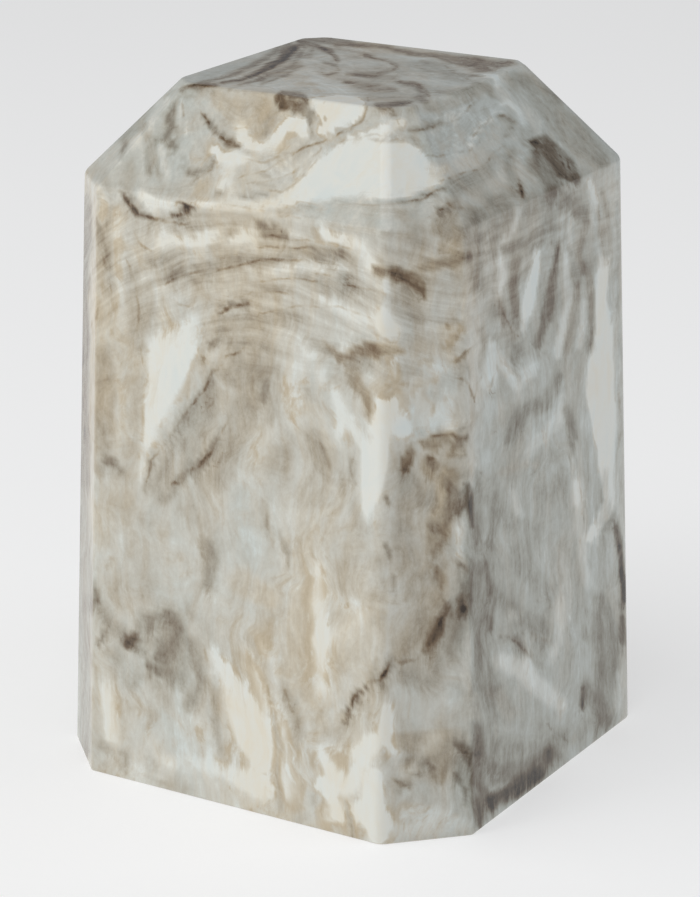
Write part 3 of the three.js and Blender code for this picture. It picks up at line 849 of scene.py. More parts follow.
    "right pale top": streak(0.18, 6, (560, 600, 5), (560, 640, 4), (552, 660, 4), warmth=-0.3),
    "right lower taupe": streak(0.44, 8, (480, 690, 5), (500, 694, 6), (512, 712, 7)),
    "right flank grey": streak(
        0.56, 8, (600, 600, 8), (604, 640, 12), (608, 680, 10), (608, 705, 6), warmth=-0.4,
    ),
    "right flank dark": streak(0.7, 4, (583, 690, 3), (583, 706, 4)),
    "right edge dark": streak(0.74, 3, (613, 522, 2), (618, 545, 3), (621, 570, 3), (624, 600, 3)),
    "right edge dark low": streak(0.6, 5, (620, 620, 4), (622, 640, 4)),
    "right foot pale": streak(0.24, 8, (498, 730, 7), (540, 735, 8), (560, 720, 6), warmth=-0.5),
    "right foot grey": streak(0.66, 10, (494, 770, 10), (520, 772, 12), (548, 756, 9), warmth=-0.3),
    "right foot dark": streak(0.86, 7, (482, 804, 8), (510, 794, 8), (540, 772, 7), (520, 780, 6)),
    "right foot end": streak(0.46, 7, (590, 725, 7), (610, 712, 5), (565, 745, 4)),
    # Painted shade: cool dark strips down the edge between the chamfer and the right face; the pale one
    # is a gap in that shade
    "edge painted shade upper": streak(
        0.52, 8, (478, 470, 2), (479, 560, 6), (478, 610, 8), (477, 650, 6), (478, 690, 4), warmth=-1.0,
    ),
    "edge painted shade lower": streak(
        0.66, 9, (476, 728, 5), (480, 760, 8), (478, 800, 9), (480, 824, 6), warmth=-1.0,
    ),
    "pale gap in edge painted shade": streak(0.34, 5, (477, 694, 4), (478, 716, 4)),
}

VEINS = {
    "arch line": vein(
        0.7, 1.2, (165, 283), (180, 277), (200, 273), (225, 270), (245, 264), (262, 260), (300, 261),
    ),
    "arch third line": vein(0.6, 1.1, (238, 300), (250, 294), (265, 291), (285, 294)),
    "arch fifth line": vein(0.6, 1.0, (250, 284), (280, 279), (310, 281), (345, 284)),
    "arch sixth line": vein(0.5, 1.0, (262, 312), (300, 306), (340, 308), (372, 316)),
    "arch seventh line": vein(0.5, 1.0, (270, 236), (300, 238), (330, 244), (356, 250)),
    "front top line": vein(0.5, 1.0, (216, 204), (244, 208), (272, 212), (300, 216)),
    "arch end line": vein(0.9, 1.5, (216, 319), (226, 312), (238, 307), (250, 303)),
    "right arch line one": vein(0.6, 1.0, (318, 274), (332, 277), (348, 280)),
    "right arch line two": vein(
        0.6, 1.0, (330, 285), (350, 286), (372, 289), (392, 293), (405, 300), (418, 311),
    ),
    "left arch hook": vein(0.6, 1.2, (170, 300), (178, 304), (190, 307), (194, 303)),
    "band line": vein(0.7, 1.2, (262, 248), (290, 246), (314, 248)),
    "smile line": vein(0.9, 1.4, (120, 190), (130, 201), (136, 210), (152, 219), (166, 223), (182, 224)),
    "smile far line": vein(0.9, 1.4, (170, 219), (184, 214), (193, 207), (186, 204), (178, 203)),
    "left fold": vein(0.6, 1.2, (136, 232), (140, 244), (150, 252)),
    "left streak one": vein(0.5, 1.1, (96, 232), (104, 262), (112, 292), (118, 320)),
    "left streak two": vein(0.5, 1.0, (128, 262), (134, 280), (138, 305), (140, 340), (142, 362)),
    "sliver second line": vein(0.8, 1.4, (84, 200), (83, 300), (82, 420), (80, 540)),
    "left spot line": vein(0.8, 1.3, (100, 306), (98, 316), (94, 326), (92, 334)),
    "left edge line": vein(0.6, 1.1, (90, 414), (90, 430), (95, 444)),
    "sliver line": vein(0.7, 1.0, (88, 300), (87, 350), (86, 400), (84, 440)),
    "black drop": vein(1.0, 2.6, (201, 358), (203, 364)),
    "notch line": vein(0.8, 1.6, (244, 350), (236, 356), (226, 358)),
    "diagonal line": vein(0.9, 1.8, (220, 368), (210, 380), (204, 390), (196, 400)),
    "diagonal faint": vein(0.5, 1.2, (196, 400), (180, 422), (166, 438), (152, 458), (148, 480)),
    "second diagonal": vein(0.95, 1.6, (215, 443), (212, 451), (206, 457), (198, 464)),
    "second diagonal end": vein(0.9, 2.2, (190, 468), (182, 474), (176, 482)),
    "second diagonal join": vein(0.4, 1.2, (232, 416), (224, 432), (216, 443)),
    "middle haze line": vein(0.4, 1.2, (214, 404), (206, 412)),
    "drip line": vein(0.7, 1.4, (322, 444), (327, 456), (330, 468)),
    "drip line two": vein(0.6, 1.2, (350, 462), (351, 484)),
    "smear line": vein(0.4, 1.2, (282, 390), (290, 404)),
    "river line": vein(
        0.6, 1.6, (448, 600), (449, 612), (438, 622), (432, 634), (424, 650), (414, 662), (400, 665),
        (390, 664),
    ),
    "river lower line": vein(0.9, 1.5, (390, 664), (386, 674), (380, 682), (368, 684), (362, 692)),
    "river end line": vein(0.9, 1.6, (360, 692), (354, 696), (350, 704), (343, 716)),
    "foot black": vein(1.0, 2.0, (310, 717), (314, 728), (315, 734)),
    "foot long line": vein(0.5, 1.2, (262, 668), (270, 700), (276, 740), (280, 790)),
    "foot second line": vein(0.5, 1.2, (280, 680), (290, 705), (300, 730)),
    "blotch line": vein(0.5, 1.2, (205, 650), (210, 664)),
    "edge bit": vein(0.9, 1.4, (388, 494), (390, 506)),
    "crescent line": vein(0.8, 1.4, (202, 114), (210, 127), (224, 139), (240, 148)),
    "swirl line": vein(0.7, 1.3, (208, 155), (214, 162), (206, 172), (196, 178)),
    "slope tick one": vein(0.8, 1.2, (174, 104), (175, 116)),
    "slope tick two": vein(0.8, 1.2, (183, 104), (183, 120)),
    "clump line": vein(0.6, 1.2, (178, 92), (170, 108), (164, 120)),
    "crest line": vein(0.8, 1.4, (180, 89), (196, 84), (220, 85)),
    "shell line one": vein(0.5, 1.0, (240, 178), (262, 172), (282, 160), (300, 148), (325, 142)),
    "shell line two": vein(0.5, 1.0, (248, 184), (270, 182), (292, 172), (302, 164), (322, 148)),
    "shell line three": vein(0.5, 1.0, (240, 158), (262, 164), (285, 154), (310, 146), (352, 132)),
    "shell line four": vein(0.5, 1.0, (260, 190), (280, 192), (296, 180), (310, 164)),
    "pool line": vein(0.35, 1.0, (338, 206), (380, 207), (410, 202)),
    "pool rim": vein(0.9, 1.2, (410, 202), (426, 198), (436, 191), (446, 190)),
    "pool top line": vein(0.5, 1.0, (345, 142), (372, 136), (398, 140), (410, 146), (422, 149)),
    "shell rim": vein(0.8, 1.1, (398, 142), (408, 146), (420, 149)),
    "pool edge line": vein(0.7, 1.1, (367, 98), (368, 112), (362, 124), (340, 136)),
    "chamfer top line": vein(0.9, 1.6, (430, 216), (440, 211), (446, 204), (460, 210)),
    "chamfer second line": vein(0.6, 1.2, (424, 262), (448, 264), (466, 258)),
    "chamfer black": vein(1.0, 2.2, (456, 362), (462, 360), (467, 352)),
    "chamfer black low": vein(0.9, 1.4, (460, 379), (466, 382), (472, 392), (476, 400)),
    "curl one": vein(0.8, 1.0, (476, 400), (477, 385), (481, 376)),
    "curl two": vein(0.8, 1.0, (484, 376), (488, 390), (493, 376)),
    "curl three": vein(0.8, 1.1, (490, 438), (489, 433), (494, 432)),
    "bark line": vein(0.6, 1.4, (421, 445), (432, 438), (445, 436), (452, 433), (462, 439), (469, 434)),
    "bark knot": vein(1.0, 1.8, (427, 461), (433, 461)),
    "chamfer foot line": vein(1.0, 1.6, (394, 780), (402, 784), (412, 789)),
    "chamfer corner line": vein(0.9, 1.6, (462, 752), (472, 754), (478, 753)),
    "facet line one": vein(0.7, 1.2, (410, 131), (432, 128), (448, 122), (462, 116), (478, 102)),
    "facet line two": vein(0.8, 1.2, (474, 136), (486, 126), (494, 117), (502, 115), (514, 124)),
    "facet line three": vein(0.7, 1.2, (428, 157), (440, 158), (450, 152), (472, 148), (480, 142)),
    "facet line four": vein(0.7, 1.2, (442, 182), (462, 174), (478, 168), (498, 152), (504, 148)),
    "facet long line": vein(0.6, 1.1, (505, 150), (514, 164), (518, 182)),
    "plateau line one": vein(0.8, 1.2, (222, 82), (250, 76), (272, 66), (294, 50)),
    "plateau line two": vein(0.7, 1.0, (345, 60), (368, 56), (386, 60), (396, 68), (380, 75), (350, 76)),
    "plateau line three": vein(0.7, 1.1, (342, 82), (366, 86), (394, 90)),
    "plateau ring": vein(0.9, 1.2, (398, 82), (410, 84), (424, 89), (428, 95)),
    "plateau right line": vein(0.7, 1.1, (446, 68), (462, 76), (470, 80)),
    "plateau back line": vein(0.8, 1.2, (296, 42), (312, 45), (328, 52), (334, 60)),
    "right v line": vein(0.7, 1.1, (500, 300), (503, 316), (511, 334), (516, 338)),
    "right v line two": vein(0.7, 1.1, (521, 322), (526, 334), (530, 342)),
    "right tick": vein(0.8, 1.3, (568, 352), (570, 366)),
    "right spot": vein(0.9, 1.6, (480, 471), (482, 474)),
    "right long line": vein(0.7, 1.1, (618, 385), (617, 410), (618, 440)),
    "right edge line": vein(0.9, 1.5, (613, 524), (618, 545), (620, 568), (626, 596), (627, 620)),
    "right curve line": vein(0.7, 1.3, (514, 642), (522, 650), (532, 660)),
    "right flank line": vein(0.9, 1.6, (582, 700), (584, 712)),
    "right foot line": vein(0.8, 1.2, (546, 722), (554, 732), (564, 742)),
    "slate line one": vein(0.8, 1.0, (561, 152), (566, 168), (570, 190)),
    "slate line two": vein(0.7, 1.0, (569, 160), (574, 176), (576, 192)),
    "drop line": vein(0.9, 1.6, (518, 184), (521, 194), (519, 206)),
    "right hair one": vein(0.5, 1.0, (596, 170), (600, 200), (604, 240)),
    "right hair two": vein(0.5, 1.0, (560, 222), (556, 250), (548, 290)),
}


def wash(shift, edge, *points):
    """A soft wash over the streaks. shift is how much darker it makes them, below 0 lighter."""
    return shift, edge, points


WASHES = {
    "left foot of the crown": wash(0.16, 16, (128, 150, 6), (132, 200, 8), (142, 224, 9), (128, 236, 6)),
    "crown below left corner": wash(0.08, 16, (160, 112, 10), (176, 134, 8)),
    # The sliver washes paint the shade on the grazing left chamfer
    "sliver": wash(0.12, 8, (86, 190, 6), (86, 340, 8), (85, 480, 7)),
    "sliver foot painted shade": wash(0.15, 10, (84, 752, 6)),
    "arch left": wash(0.16, 10, (166, 282, 5), (215, 280, 7), (262, 268, 6)),
    "arch middle": wash(0.2, 14, (340, 252, 8), (358, 258, 8), (350, 288, 10)),
    "arch right": wash(0.08, 16, (402, 276, 10), (420, 284, 8)),
    "front shoulder": wash(0.12, 12, (160, 212, 6), (216, 212, 7), (250, 214, 6)),
    "chamfer shoulder": wash(0.12, 12, (408, 214, 8), (422, 240, 8)),
    "right shoulder corner": wash(0.28, 12, (468, 214, 6), (472, 246, 8), (480, 284, 8)),
    "rust foot": wash(0.24, 10, (366, 366, 8)),
    "middle left": wash(0.08, 16, (212, 350, 10), (222, 400, 10), (222, 440, 10)),
    "middle": wash(0.14, 16, (270, 398, 8), (282, 450, 14), (276, 500, 9)),
    "middle right": wash(0.08, 14, (312, 424, 8), (330, 456, 8)),
    "left spot": wash(0.26, 12, (106, 470, 10), (122, 474, 4)),
    "left below diagonal": wash(0.2, 12, (150, 456, 8)),
    "chamfer left": wash(0.2, 14, (398, 462, 6), (408, 486, 10), (428, 504, 8)),
    "chamfer right edge": wash(0.16, 12, (468, 496, 6), (470, 540, 8), (468, 580, 10)),
    "river": wash(0.28, 20, (468, 592, 8), (450, 630, 16), (440, 662, 10)),
    "river tail": wash(0.16, 16, (432, 676, 10), (402, 672, 10), (372, 682, 6)),
    "right foot": wash(0.2, 20, (484, 708, 8), (490, 748, 14), (552, 734, 12)),
    "right foot corner": wash(0.18, 16, (466, 772, 8), (484, 800, 12), (500, 806, 6)),
    "right edge": wash(0.18, 10, (620, 560, 4), (621, 610, 6), (620, 664, 6)),
    "right edge foot": wash(0.3, 12, (590, 690, 9), (604, 720, 9)),
    "right edge upper": wash(0.22, 12, (606, 470, 4), (604, 520, 9)),
    "right drop side": wash(0.14, 14, (490, 312, 8), (524, 326, 6)),
    "right shoulder": wash(0.28, 14, (528, 132, 6), (530, 168, 7)),
    "right shoulder below": wash(0.24, 14, (556, 200, 12), (590, 214, 8)),
    "right middle": wash(0.06, 24, (510, 600, 14), (534, 636, 10)),
    "blotch left": wash(0.3, 14, (94, 606, 7), (128, 642, 8), (146, 638, 10), (140, 656, 8)),
    "blotch foot": wash(0.14, 14, (150, 674, 8), (166, 700, 6)),
    "above the blotch": wash(0.08, 18, (120, 586, 12), (170, 592, 12), (196, 624, 10)),
    "below the swirl": wash(-0.06, 12, (200, 186, 8), (224, 184, 4)),
    "swirl": wash(-0.16, 12, (218, 136, 6), (212, 160, 6), (200, 180, 6)),
    "left of the square": wash(-0.1, 10, (250, 106, 5), (252, 124, 4)),
    "pool": wash(-0.1, 20, (290, 168, 14), (340, 176, 20)),
    "crown right": wash(-0.07, 24, (450, 124, 14), (462, 166, 10)),
    "right slope": wash(-0.28, 14, (562, 150, 7), (570, 166, 5)),
    "arch gap": wash(-0.18, 12, (222, 242, 8), (286, 250, 3)),
    "chamfer top left": wash(-0.18, 12, (386, 268, 4), (386, 340, 8), (396, 380, 4), (402, 430, 10)),
    "chamfer bark": wash(-0.32, 10, (440, 474, 6), (442, 500, 3), (436, 520, 6)),
    "chamfer foot": wash(-0.3, 12, (386, 710, 7), (384, 730, 8), (408, 778, 4), (436, 736, 7)),
    "wedge edge": wash(-0.16, 12, (190, 354, 5), (178, 392, 7), (164, 420, 4)),
    "diagonal foot": wash(-0.18, 12, (178, 458, 5), (166, 486, 6)),
    "front middle foot": wash(-0.22, 24, (378, 608, 6), (324, 646, 10), (320, 690, 10)),
    "front foot": wash(-0.2, 24, (256, 650, 10), (268, 700, 10), (284, 790, 10), (252, 776, 10)),
    "foot ground": wash(-0.05, 50, (190, 770, 60), (310, 770, 60)),
    "olive band": wash(-0.2, 8, (402, 268, 4), (418, 280, 4)),
    "middle haze": wash(-0.12, 14, (270, 432, 8)),
    "flank above slope": wash(-0.1, 12, (562, 420, 5), (576, 500, 6)),
    "front foot corner": wash(-0.26, 14, (324, 812, 9), (388, 818, 8)),
    "front foot left": wash(-0.22, 16, (168, 768, 9)),
    "blotch heart": wash(-0.12, 14, (170, 624, 6), (172, 658, 8), (200, 690, 8)),
    "right curve": wash(-0.28, 12, (514, 616, 7)),
    # Lightens part of the painted shade down the chamfer's edge
    "edge strip": wash(-0.24, 10, (474, 792, 6)),
    "plateau back": wash(0.26, 10, (252, 76, 6), (278, 62, 7), (296, 54, 5)),
    "plateau middle": wash(0.12, 8, (356, 74, 6), (400, 78, 6), (426, 104, 6)),
    "arch far left": wash(0.22, 14, (146, 296, 7), (152, 326, 8), (182, 314, 7)),
    "under the arch": wash(0.24, 12, (236, 357, 8)),
    "chamfer black spot": wash(0.24, 14, (460, 374, 9), (436, 392, 8)),
    "diagonal below": wash(0.14, 18, (214, 452, 8), (190, 512, 12), (222, 546, 8)),
    "tongue left": wash(0.1, 14, (336, 458, 6), (364, 530, 8)),
    "chamfer heart": wash(0.18, 14, (446, 546, 8), (430, 576, 8)),
    "right lower left": wash(0.18, 18, (490, 520, 8), (490, 580, 8), (484, 694, 12)),
    "right flank": wash(0.22, 12, (592, 346, 6)),
    "right flank low": wash(0.18, 10, (586, 636, 6)),
    "right sole": wash(-0.14, 12, (544, 766, 6)),
    "sole corner": wash(0.18, 12, (474, 816, 9)),
    "pool foot": wash(-0.14, 8, (372, 200, 5), (410, 198, 5)),
    "crown right slope": wash(-0.07, 20, (530, 96, 12), (586, 150, 12)),
    "v left": wash(0.2, 12, (511, 152, 6)),
    "chamfer knot": wash(-0.14, 10, (414, 494, 5)),
    "right far upper": wash(0.16, 14, (558, 304, 6), (576, 272, 8), (600, 262, 6)),
    "right foot sole": wash(0.2, 12, (552, 756, 9), (490, 816, 6)),
    "crown left corner": wash(0.16, 10, (188, 93, 7), (204, 90, 4)),
    "crescent left": wash(0.14, 10, (226, 120, 6)),
    "square left": wash(0.2, 8, (274, 112, 5), (264, 138, 4)),
    "pool notch": wash(-0.2, 10, (332, 132, 8)),
    "crown middle edge": wash(0.14, 8, (382, 114, 6), (412, 110, 6)),
    "facet foot": wash(0.12, 14, (432, 172, 8), (484, 198, 8)),
    "right shoulder dark": wash(0.28, 12, (492, 248, 7), (526, 242, 8), (548, 228, 7)),
    "right small knots": wash(-0.16, 10, (516, 204, 7)),
    "chamfer second brown": wash(-0.2, 10, (450, 250, 7)),
    "arch left pale": wash(-0.2, 10, (188, 268, 7)),
    "arch right pale": wash(-0.14, 10, (326, 236, 6), (336, 246, 5)),
    "rust left": wash(-0.24, 8, (342, 348, 6)),
    "middle white foot": wash(0.16, 10, (314, 364, 7)),
    "tongue edge": wash(0.18, 10, (368, 440, 5)),
    "bark edge": wash(-0.24, 10, (452, 430, 8)),
    "right lilac": wash(-0.14, 12, (500, 404, 7)),
    # Lightens a gap in the painted shade down the chamfer's edge
    "lighter gap in edge painted shade": wash(-0.26, 10, (482, 552, 7)),
    "chamfer bark right": wash(0.16, 10, (466, 474, 6)),
    "blotch upper": wash(-0.12, 12, (170, 620, 6), (124, 672, 8)),
    "right of tongue": wash(0.12, 14, (202, 622, 8), (218, 650, 4)),
    "river foot": wash(0.16, 12, (358, 704, 6), (326, 744, 7), (348, 764, 8)),
    "chamfer low": wash(0.14, 12, (404, 682, 8), (460, 690, 8)),
    "chamfer sole": wash(0.22, 12, (398, 762, 6), (426, 758, 5)),
    "right edge knot": wash(0.2, 10, (620, 606, 5)),
    "right column": wash(-0.06, 14, (580, 400, 6), (578, 500, 8)),
}


# Setting the marks into the casting

# In picture pixels: how far off a vein is felt, how far past its ends it fades out, how far the fringes
# reach up and down, the shortest stretch of a line, and a gap that nothing is as wide as
VEIN_REACH = 14.0
VEIN_END = 6.0
FRINGE_REACH = 9.0
LEAST_RUN = 1e-4
FAR = 1e9
# The half widths away that stand for no vein at all
NO_VEIN = 9.0
VEIN_CHANNELS = ("a", "b", "c", "d")

# The tones where no streak lies and on the sole, and the share of tone and veins on the hidden sides
GROUND_TONE = 0.26
SOLE_TONE = 0.3
HIDDEN_CONTRAST = 0.8
HIDDEN_VEINS = 0.7
# noise_vector reads its offsets from Blender's seed, which is the time of day until it is set
WANDERING_SEED = 7
# How far the marks wander: each is waves in a metre, the start along them and picture pixels
WANDERINGS = ((38.0, 4.0, 4.0), (110.0, 9.0, 1.8))
HIDDEN_WANDERING = (13.0, 21.0, 26.0)

# A streak with an edge wider than this has no hairs
WIDEST_DRAWN_EDGE = 12
# How far apart the hairs' pattern is read for two streaks, so that no two have the same hairs
HAIR_STEP = 37.0

# The level direction from the axis towards the picture. The shown sides end a little behind the axis
TOWARDS_PICTURE = (0.585, -0.811, 0.0)
SHOWN_FROM = (-0.016, -0.002)
TOP_FROM = (0.246, 0.2532)
SOLE_FROM = (0.0006, 0.0)


def smooth_step(values, low, high):
    share = np.clip((values - low) / (high - low), 0.0, 1.0)
    return share * share * (3.0 - 2.0 * share)


def picture_places(points, studio):
    """Where each point of the casting shows in the picture, in pixels."""
    into_view = np.array(camera_place(studio).inverted())
    seen = points @ into_view[:3, :3].T + into_view[:3, 3]
    scale = studio.lens / SENSOR * PICTURE_HEIGHT
    middle = np.array((PICTURE_WIDTH / 2, PICTURE_HEIGHT / 2))
    return middle + seen[:, :2] * (scale, -scale) / -seen[:, 2:]


def wandering(points, waves, start, reach):
    """A smooth drift of each point, about its reach either way in picture pixels."""
    start = Vector((start, start, start))
    drift = [noise.noise_vector(Vector(point) * waves + start) for point in points]
    return np.array(drift)[:, :2] * reach


class Reading(NamedTuple):
    """How each place lies to a line.

    That is the gap to it, which side of it, its half width there, how far along it and how far past it.
    """

    gap: np.ndarray
    side: np.ndarray
    radius: np.ndarray
    along: np.ndarray
    overshoot: np.ndarray


def read_line(places, points):
    """Reads each place against the nearest stretch of a line. A mark of one point is a dot."""
    reading = Reading(np.full(len(places), FAR), *np.zeros((4, len(places))))
    stretches = list(zip(points, points[1:])) or [(points[0], points[0])]
    walked = 0.0
    for number, (start, end) in enumerate(stretches):
        start = np.array(start, dtype=float)
        end = np.array(end, dtype=float)
        run = end[:2] - start[:2]
        reach = max(math.hypot(*run), LEAST_RUN)
        away = places - start[:2]
        share = away @ run / (reach * reach)
        held = np.clip(share, 0.0, 1.0)
        here = np.hypot(*(away - held[:, None] * run).T)
        nearer = here < reading.gap
        past = np.zeros(len(places))
        if number == 0:
            past = np.maximum(past, -share)
        if number == len(stretches) - 1:
            past = np.maximum(past, share - 1.0)
        reading.gap[nearer] = here[nearer]
        reading.side[nearer] = np.sign(run[0] * away[:, 1] - run[1] * away[:, 0])[nearer]
        reading.along[nearer] = (walked + share * reach)[nearer]
        reading.overshoot[nearer] = (past * reach)[nearer]
        if len(start) == 3:
            reading.radius[nearer] = (start[2] + held * (end[2] - start[2]))[nearer]
        walked += reach
    return reading


def near_marks(places, points, reach):
    """The numbers of the places within reach of the box around a mark."""
    corners = np.array([point[:2] for point in points], dtype=float)
    past_low = places > corners.min(axis=0) - reach
    before_high = places < corners.max(axis=0) + reach
    return np.nonzero(np.all(past_low & before_high, axis=1))[0]


def cover_of(line, edge):
    """How much of a streak or wash lies at each place, from 0 outside its soft border to 1 inside."""
    return smooth_step((line.radius - line.gap) / edge, -0.5, 0.5)


def lay_streaks(places):
    """What streaks and washes leave at each place: tone, warmth, the ways across and along the top one.

    The last value says how clearly the hairs of the top streak are drawn there.
    """
    tone = np.full(len(places), GROUND_TONE)
    warmth, across, along, drawn = np.zeros((4, len(places)))
    for number, (streak_tone, edge, points, streak_warmth) in enumerate(STREAKS.values()):
        widest = max(point[2] for point in points)
        near = near_marks(places, points, widest + edge)
        line = read_line(places[near], points)
        cover = cover_of(line, edge)
        tone[near] += (streak_tone - tone[near]) * cover
        warmth[near] += (streak_warmth - warmth[near]) * cover
        on_top = cover > 0.5
        chosen = near[on_top]
        across[chosen] = (line.gap * line.side)[on_top]
        along[chosen] = line.along[on_top] + number * HAIR_STEP
        drawn[near] = np.where(on_top, 1.0, drawn[near]) * smooth_step(np.abs(cover - 0.5), 0.0, 0.4)
        if len(points) == 1 or edge > WIDEST_DRAWN_EDGE:
            drawn[chosen] = 0.0
    for shift, edge, points in WASHES.values():
        widest = max(point[2] for point in points)
        near = near_marks(places, points, widest + edge)
        tone[near] += shift * cover_of(read_line(places[near], points), edge)
    return tone.clip(0.0, 1.0), warmth, across, along, drawn


def vein_channels():
    """Shares the veins out so that two close ones are never in the same channel, where that can be."""
    shares = [[] for _ in VEIN_CHANNELS]
    for strength, width, points in VEINS.values():
        line = np.array(points, dtype=float)

        def room(others):
            gaps = [read_line(line, other).gap.min() for _, _, other in others]
            return min(gaps, default=FAR)

        max(shares, key=room).append((strength, width, points))
    return shares


def lay_veins(places, veins):
    """The distance to either side of the nearest vein, in half widths, and the vein's strength there."""
    offset = np.full(len(places), NO_VEIN)
    strength = np.zeros(len(places))
    nearest = np.full(len(places), VEIN_REACH)
    for vein_strength, width, points in veins:
        near = near_marks(places, points, VEIN_REACH)
        line = read_line(places[near], points)
        closer = line.gap < nearest[near]
        chosen = near[closer]
        nearest[chosen] = line.gap[closer]
        offset[chosen] = (line.gap * line.side)[closer] / width
        fade = smooth_step(VEIN_REACH - line.gap, 0.0, VEIN_REACH * 0.5)
        fade = fade * smooth_step(VEIN_END - line.overshoot, 0.0, VEIN_END)
        strength[chosen] = (vein_strength * fade)[closer]
    return offset, strength


def set_marks(mesh, studio):
    """Stores tone, warmth and veins on the mesh. The hidden sides take the marks turned half round."""
    noise.seed_set(WANDERING_SEED)
    points = np.empty(len(mesh.vertices) * 3)
    mesh.vertices.foreach_get("co", points)
    points = points.reshape(-1, 3)
    height = points[:, 2]
    drift = sum(wandering(points, *settings) for settings in WANDERINGS)
    shown = picture_places(points, studio) + drift
    turned = picture_places(points * (-1.0, -1.0, 1.0), studio) + drift
    turned = turned + wandering(points, *HIDDEN_WANDERING)
    facing = points @ np.array(TOWARDS_PICTURE)
    front = np.maximum(smooth_step(facing, *SHOWN_FROM), smooth_step(height, *TOP_FROM))
    in_front = front > 0.5
    off_border = np.abs(front * 2.0 - 1.0)
    on_sole = smooth_step(height, *SOLE_FROM)

    layers = {}
    for name, rise in (("tone", 0.0), ("tone above", -FRINGE_REACH), ("tone below", FRINGE_REACH)):
        laid = lay_streaks(shown + (0.0, rise))
        laid_behind = lay_streaks(turned + (0.0, rise))
        laid_behind[0][:] = SOLE_TONE + (laid_behind[0] - SOLE_TONE) * HIDDEN_CONTRAST
        tone, warmth = (there + (here - there) * front for here, there in zip(laid[:2], laid_behind[:2]))
        layers[name] = tone + (SOLE_TONE - tone) * on_sole
        if name == "tone":
            ways = (np.where(in_front, here, there) for here, there in zip(laid[2:], laid_behind[2:]))
            across, along, drawn = ways
            layers["warmth"] = warmth * (1.0 - on_sole)
            layers["across streak"] = across
            layers["along streak"] = along
            layers["drawn streak"] = drawn * off_border
    for channel, veins in zip(VEIN_CHANNELS, vein_channels()):
        offset, strength = lay_veins(shown, veins)
        turned_offset, turned_strength = lay_veins(turned, veins)
        strength = np.where(in_front, strength, turned_strength * HIDDEN_VEINS)
        layers["vein offset " + channel] = np.where(in_front, offset, turned_offset)
        layers["vein strength " + channel] = strength * off_border * (1.0 - on_sole)
    for name, values in layers.items():
        layer = mesh.attributes.new(name, "FLOAT", "POINT")
        layer.data.foreach_set("value", values.astype(np.float32))


# Materials

def new_material(name):
    material = bpy.data.materials.new(name)
    material.use_nodes = True
    tree = material.node_tree
    return material, tree, tree.nodes["Principled BSDF"]


def tint(red, green, blue):
    """A colour given in 0 to 255, as the shader wants it."""
    return tuple(((part / 255 + 0.055) / 1.055) ** 2.4 for part in (red, green, blue))


def colour(name, description, red, green, blue):
    return bpy.props.FloatVectorProperty(
        name=name,
        description=description,
        default=tint(red, green, blue),
        subtype="COLOR",
        min=0.0,
        max=1.0,
    )


class MarbleColours(bpy.types.PropertyGroup):
    ivory: colour("Ivory", "The pools and the white grounds", 230, 231, 224)
    shell: colour("Shell", "The borders of the pools", 213, 211, 201)
    cream: colour("Cream", "Around the pools", 204, 201, 190)
    beige: colour("Beige", "The clouds", 186, 180, 166)
    taupe: colour("Taupe", "The deeper clouds and bands", 159, 151, 136)
    brown: colour("Brown", "The stains along the veins", 119, 103, 85)
    bark: colour("Bark", "The darkest specks and veins", 58, 47, 37)
    rust: colour("Rust wash", "Turns the warm stains", 255, 243, 226)
    # Slate also carries the painted cool shade of the side faces, through marble_hue
    slate: colour("Slate wash", "Turns the cool clouds", 241, 249, 255)
    combing: bpy.props.FloatProperty(
        name="Combing",
        description="How strongly the pour is combed upright on the walls",
        default=0.22,
        min=0.0,
    )
    clouding: bpy.props.FloatProperty(
        name="Clouding",
        description="How much the clouds vary between the set marks",
        default=0.4,
        min=0.0,
    )


def noise_around_zero(tree, place, stretch, detail=4.0, roughness=0.55, distortion=0.0):
    """Noise from about -0.3 to 0.3. stretch is how many waves there are in a metre along x, y and z."""
    scaled = place.operate("MULTIPLY", stretch)
    return wire_from(
        tree,
        "ShaderNodeTexNoise",
        Vector=scaled,
        Scale=1.0,
        Detail=detail,
        Roughness=roughness,
        Distortion=distortion,
    ) - 0.5


def stored(tree, name):
    """One of the layers that set_marks keeps on the mesh."""
    return wire_from(tree, "ShaderNodeAttribute", output="Fac", settings={"attribute_name": name})


def between(tree, value, low, high):
    """A smooth climb from 0 at low to 1 at high."""
    return wire_from(
        tree,
        "ShaderNodeMapRange",
        settings={"interpolation_type": "SMOOTHSTEP"},
        Value=value,
        From_Min=low,
        From_Max=high,
    )


def bumps(tree, strength, depth, height):
    return wire_from(
        tree, "ShaderNodeBump", output="Normal", Strength=strength, Distance=depth, Height=height
    )


def blend_colour(tree, mode, factor, first, second):
    """Mixes two colours. A Mix node has its factor first, and its two colours at sockets 6 and 7."""
    node = tree.nodes.new("ShaderNodeMix")
    node.data_type = "RGBA"
    node.blend_type = mode
    feed(tree, node.inputs[0], factor)
    feed(tree, node.inputs[6], first)
    feed(tree, node.inputs[7], second)
    return Wire(tree, node.outputs[2])


def colour_ramp(tree, value, stops):
    node = tree.nodes.new("ShaderNodeValToRGB")
    feed(tree, node.inputs["Fac"], value)
    ramp = node.color_ramp
    while len(ramp.elements) < len(stops):
        ramp.elements.new(1.0)
    for element, (position, shade) in zip(ramp.elements, stops):
        element.position = position
        element.color = (*shade, 1.0)
    return Wire(tree, node.outputs["Color"])


# Where the marble changes character, each from nothing to full. The flanks are the sides along X
CROWN_SPAN = (0.208, 0.226)
ARCH_SPAN = (0.150, 0.185)
PLATEAU_SPAN = (0.2510, 0.2532)
LOW_SPAN = (0.08, 0.14)
FLANK_SPAN = (0.0765, 0.083)


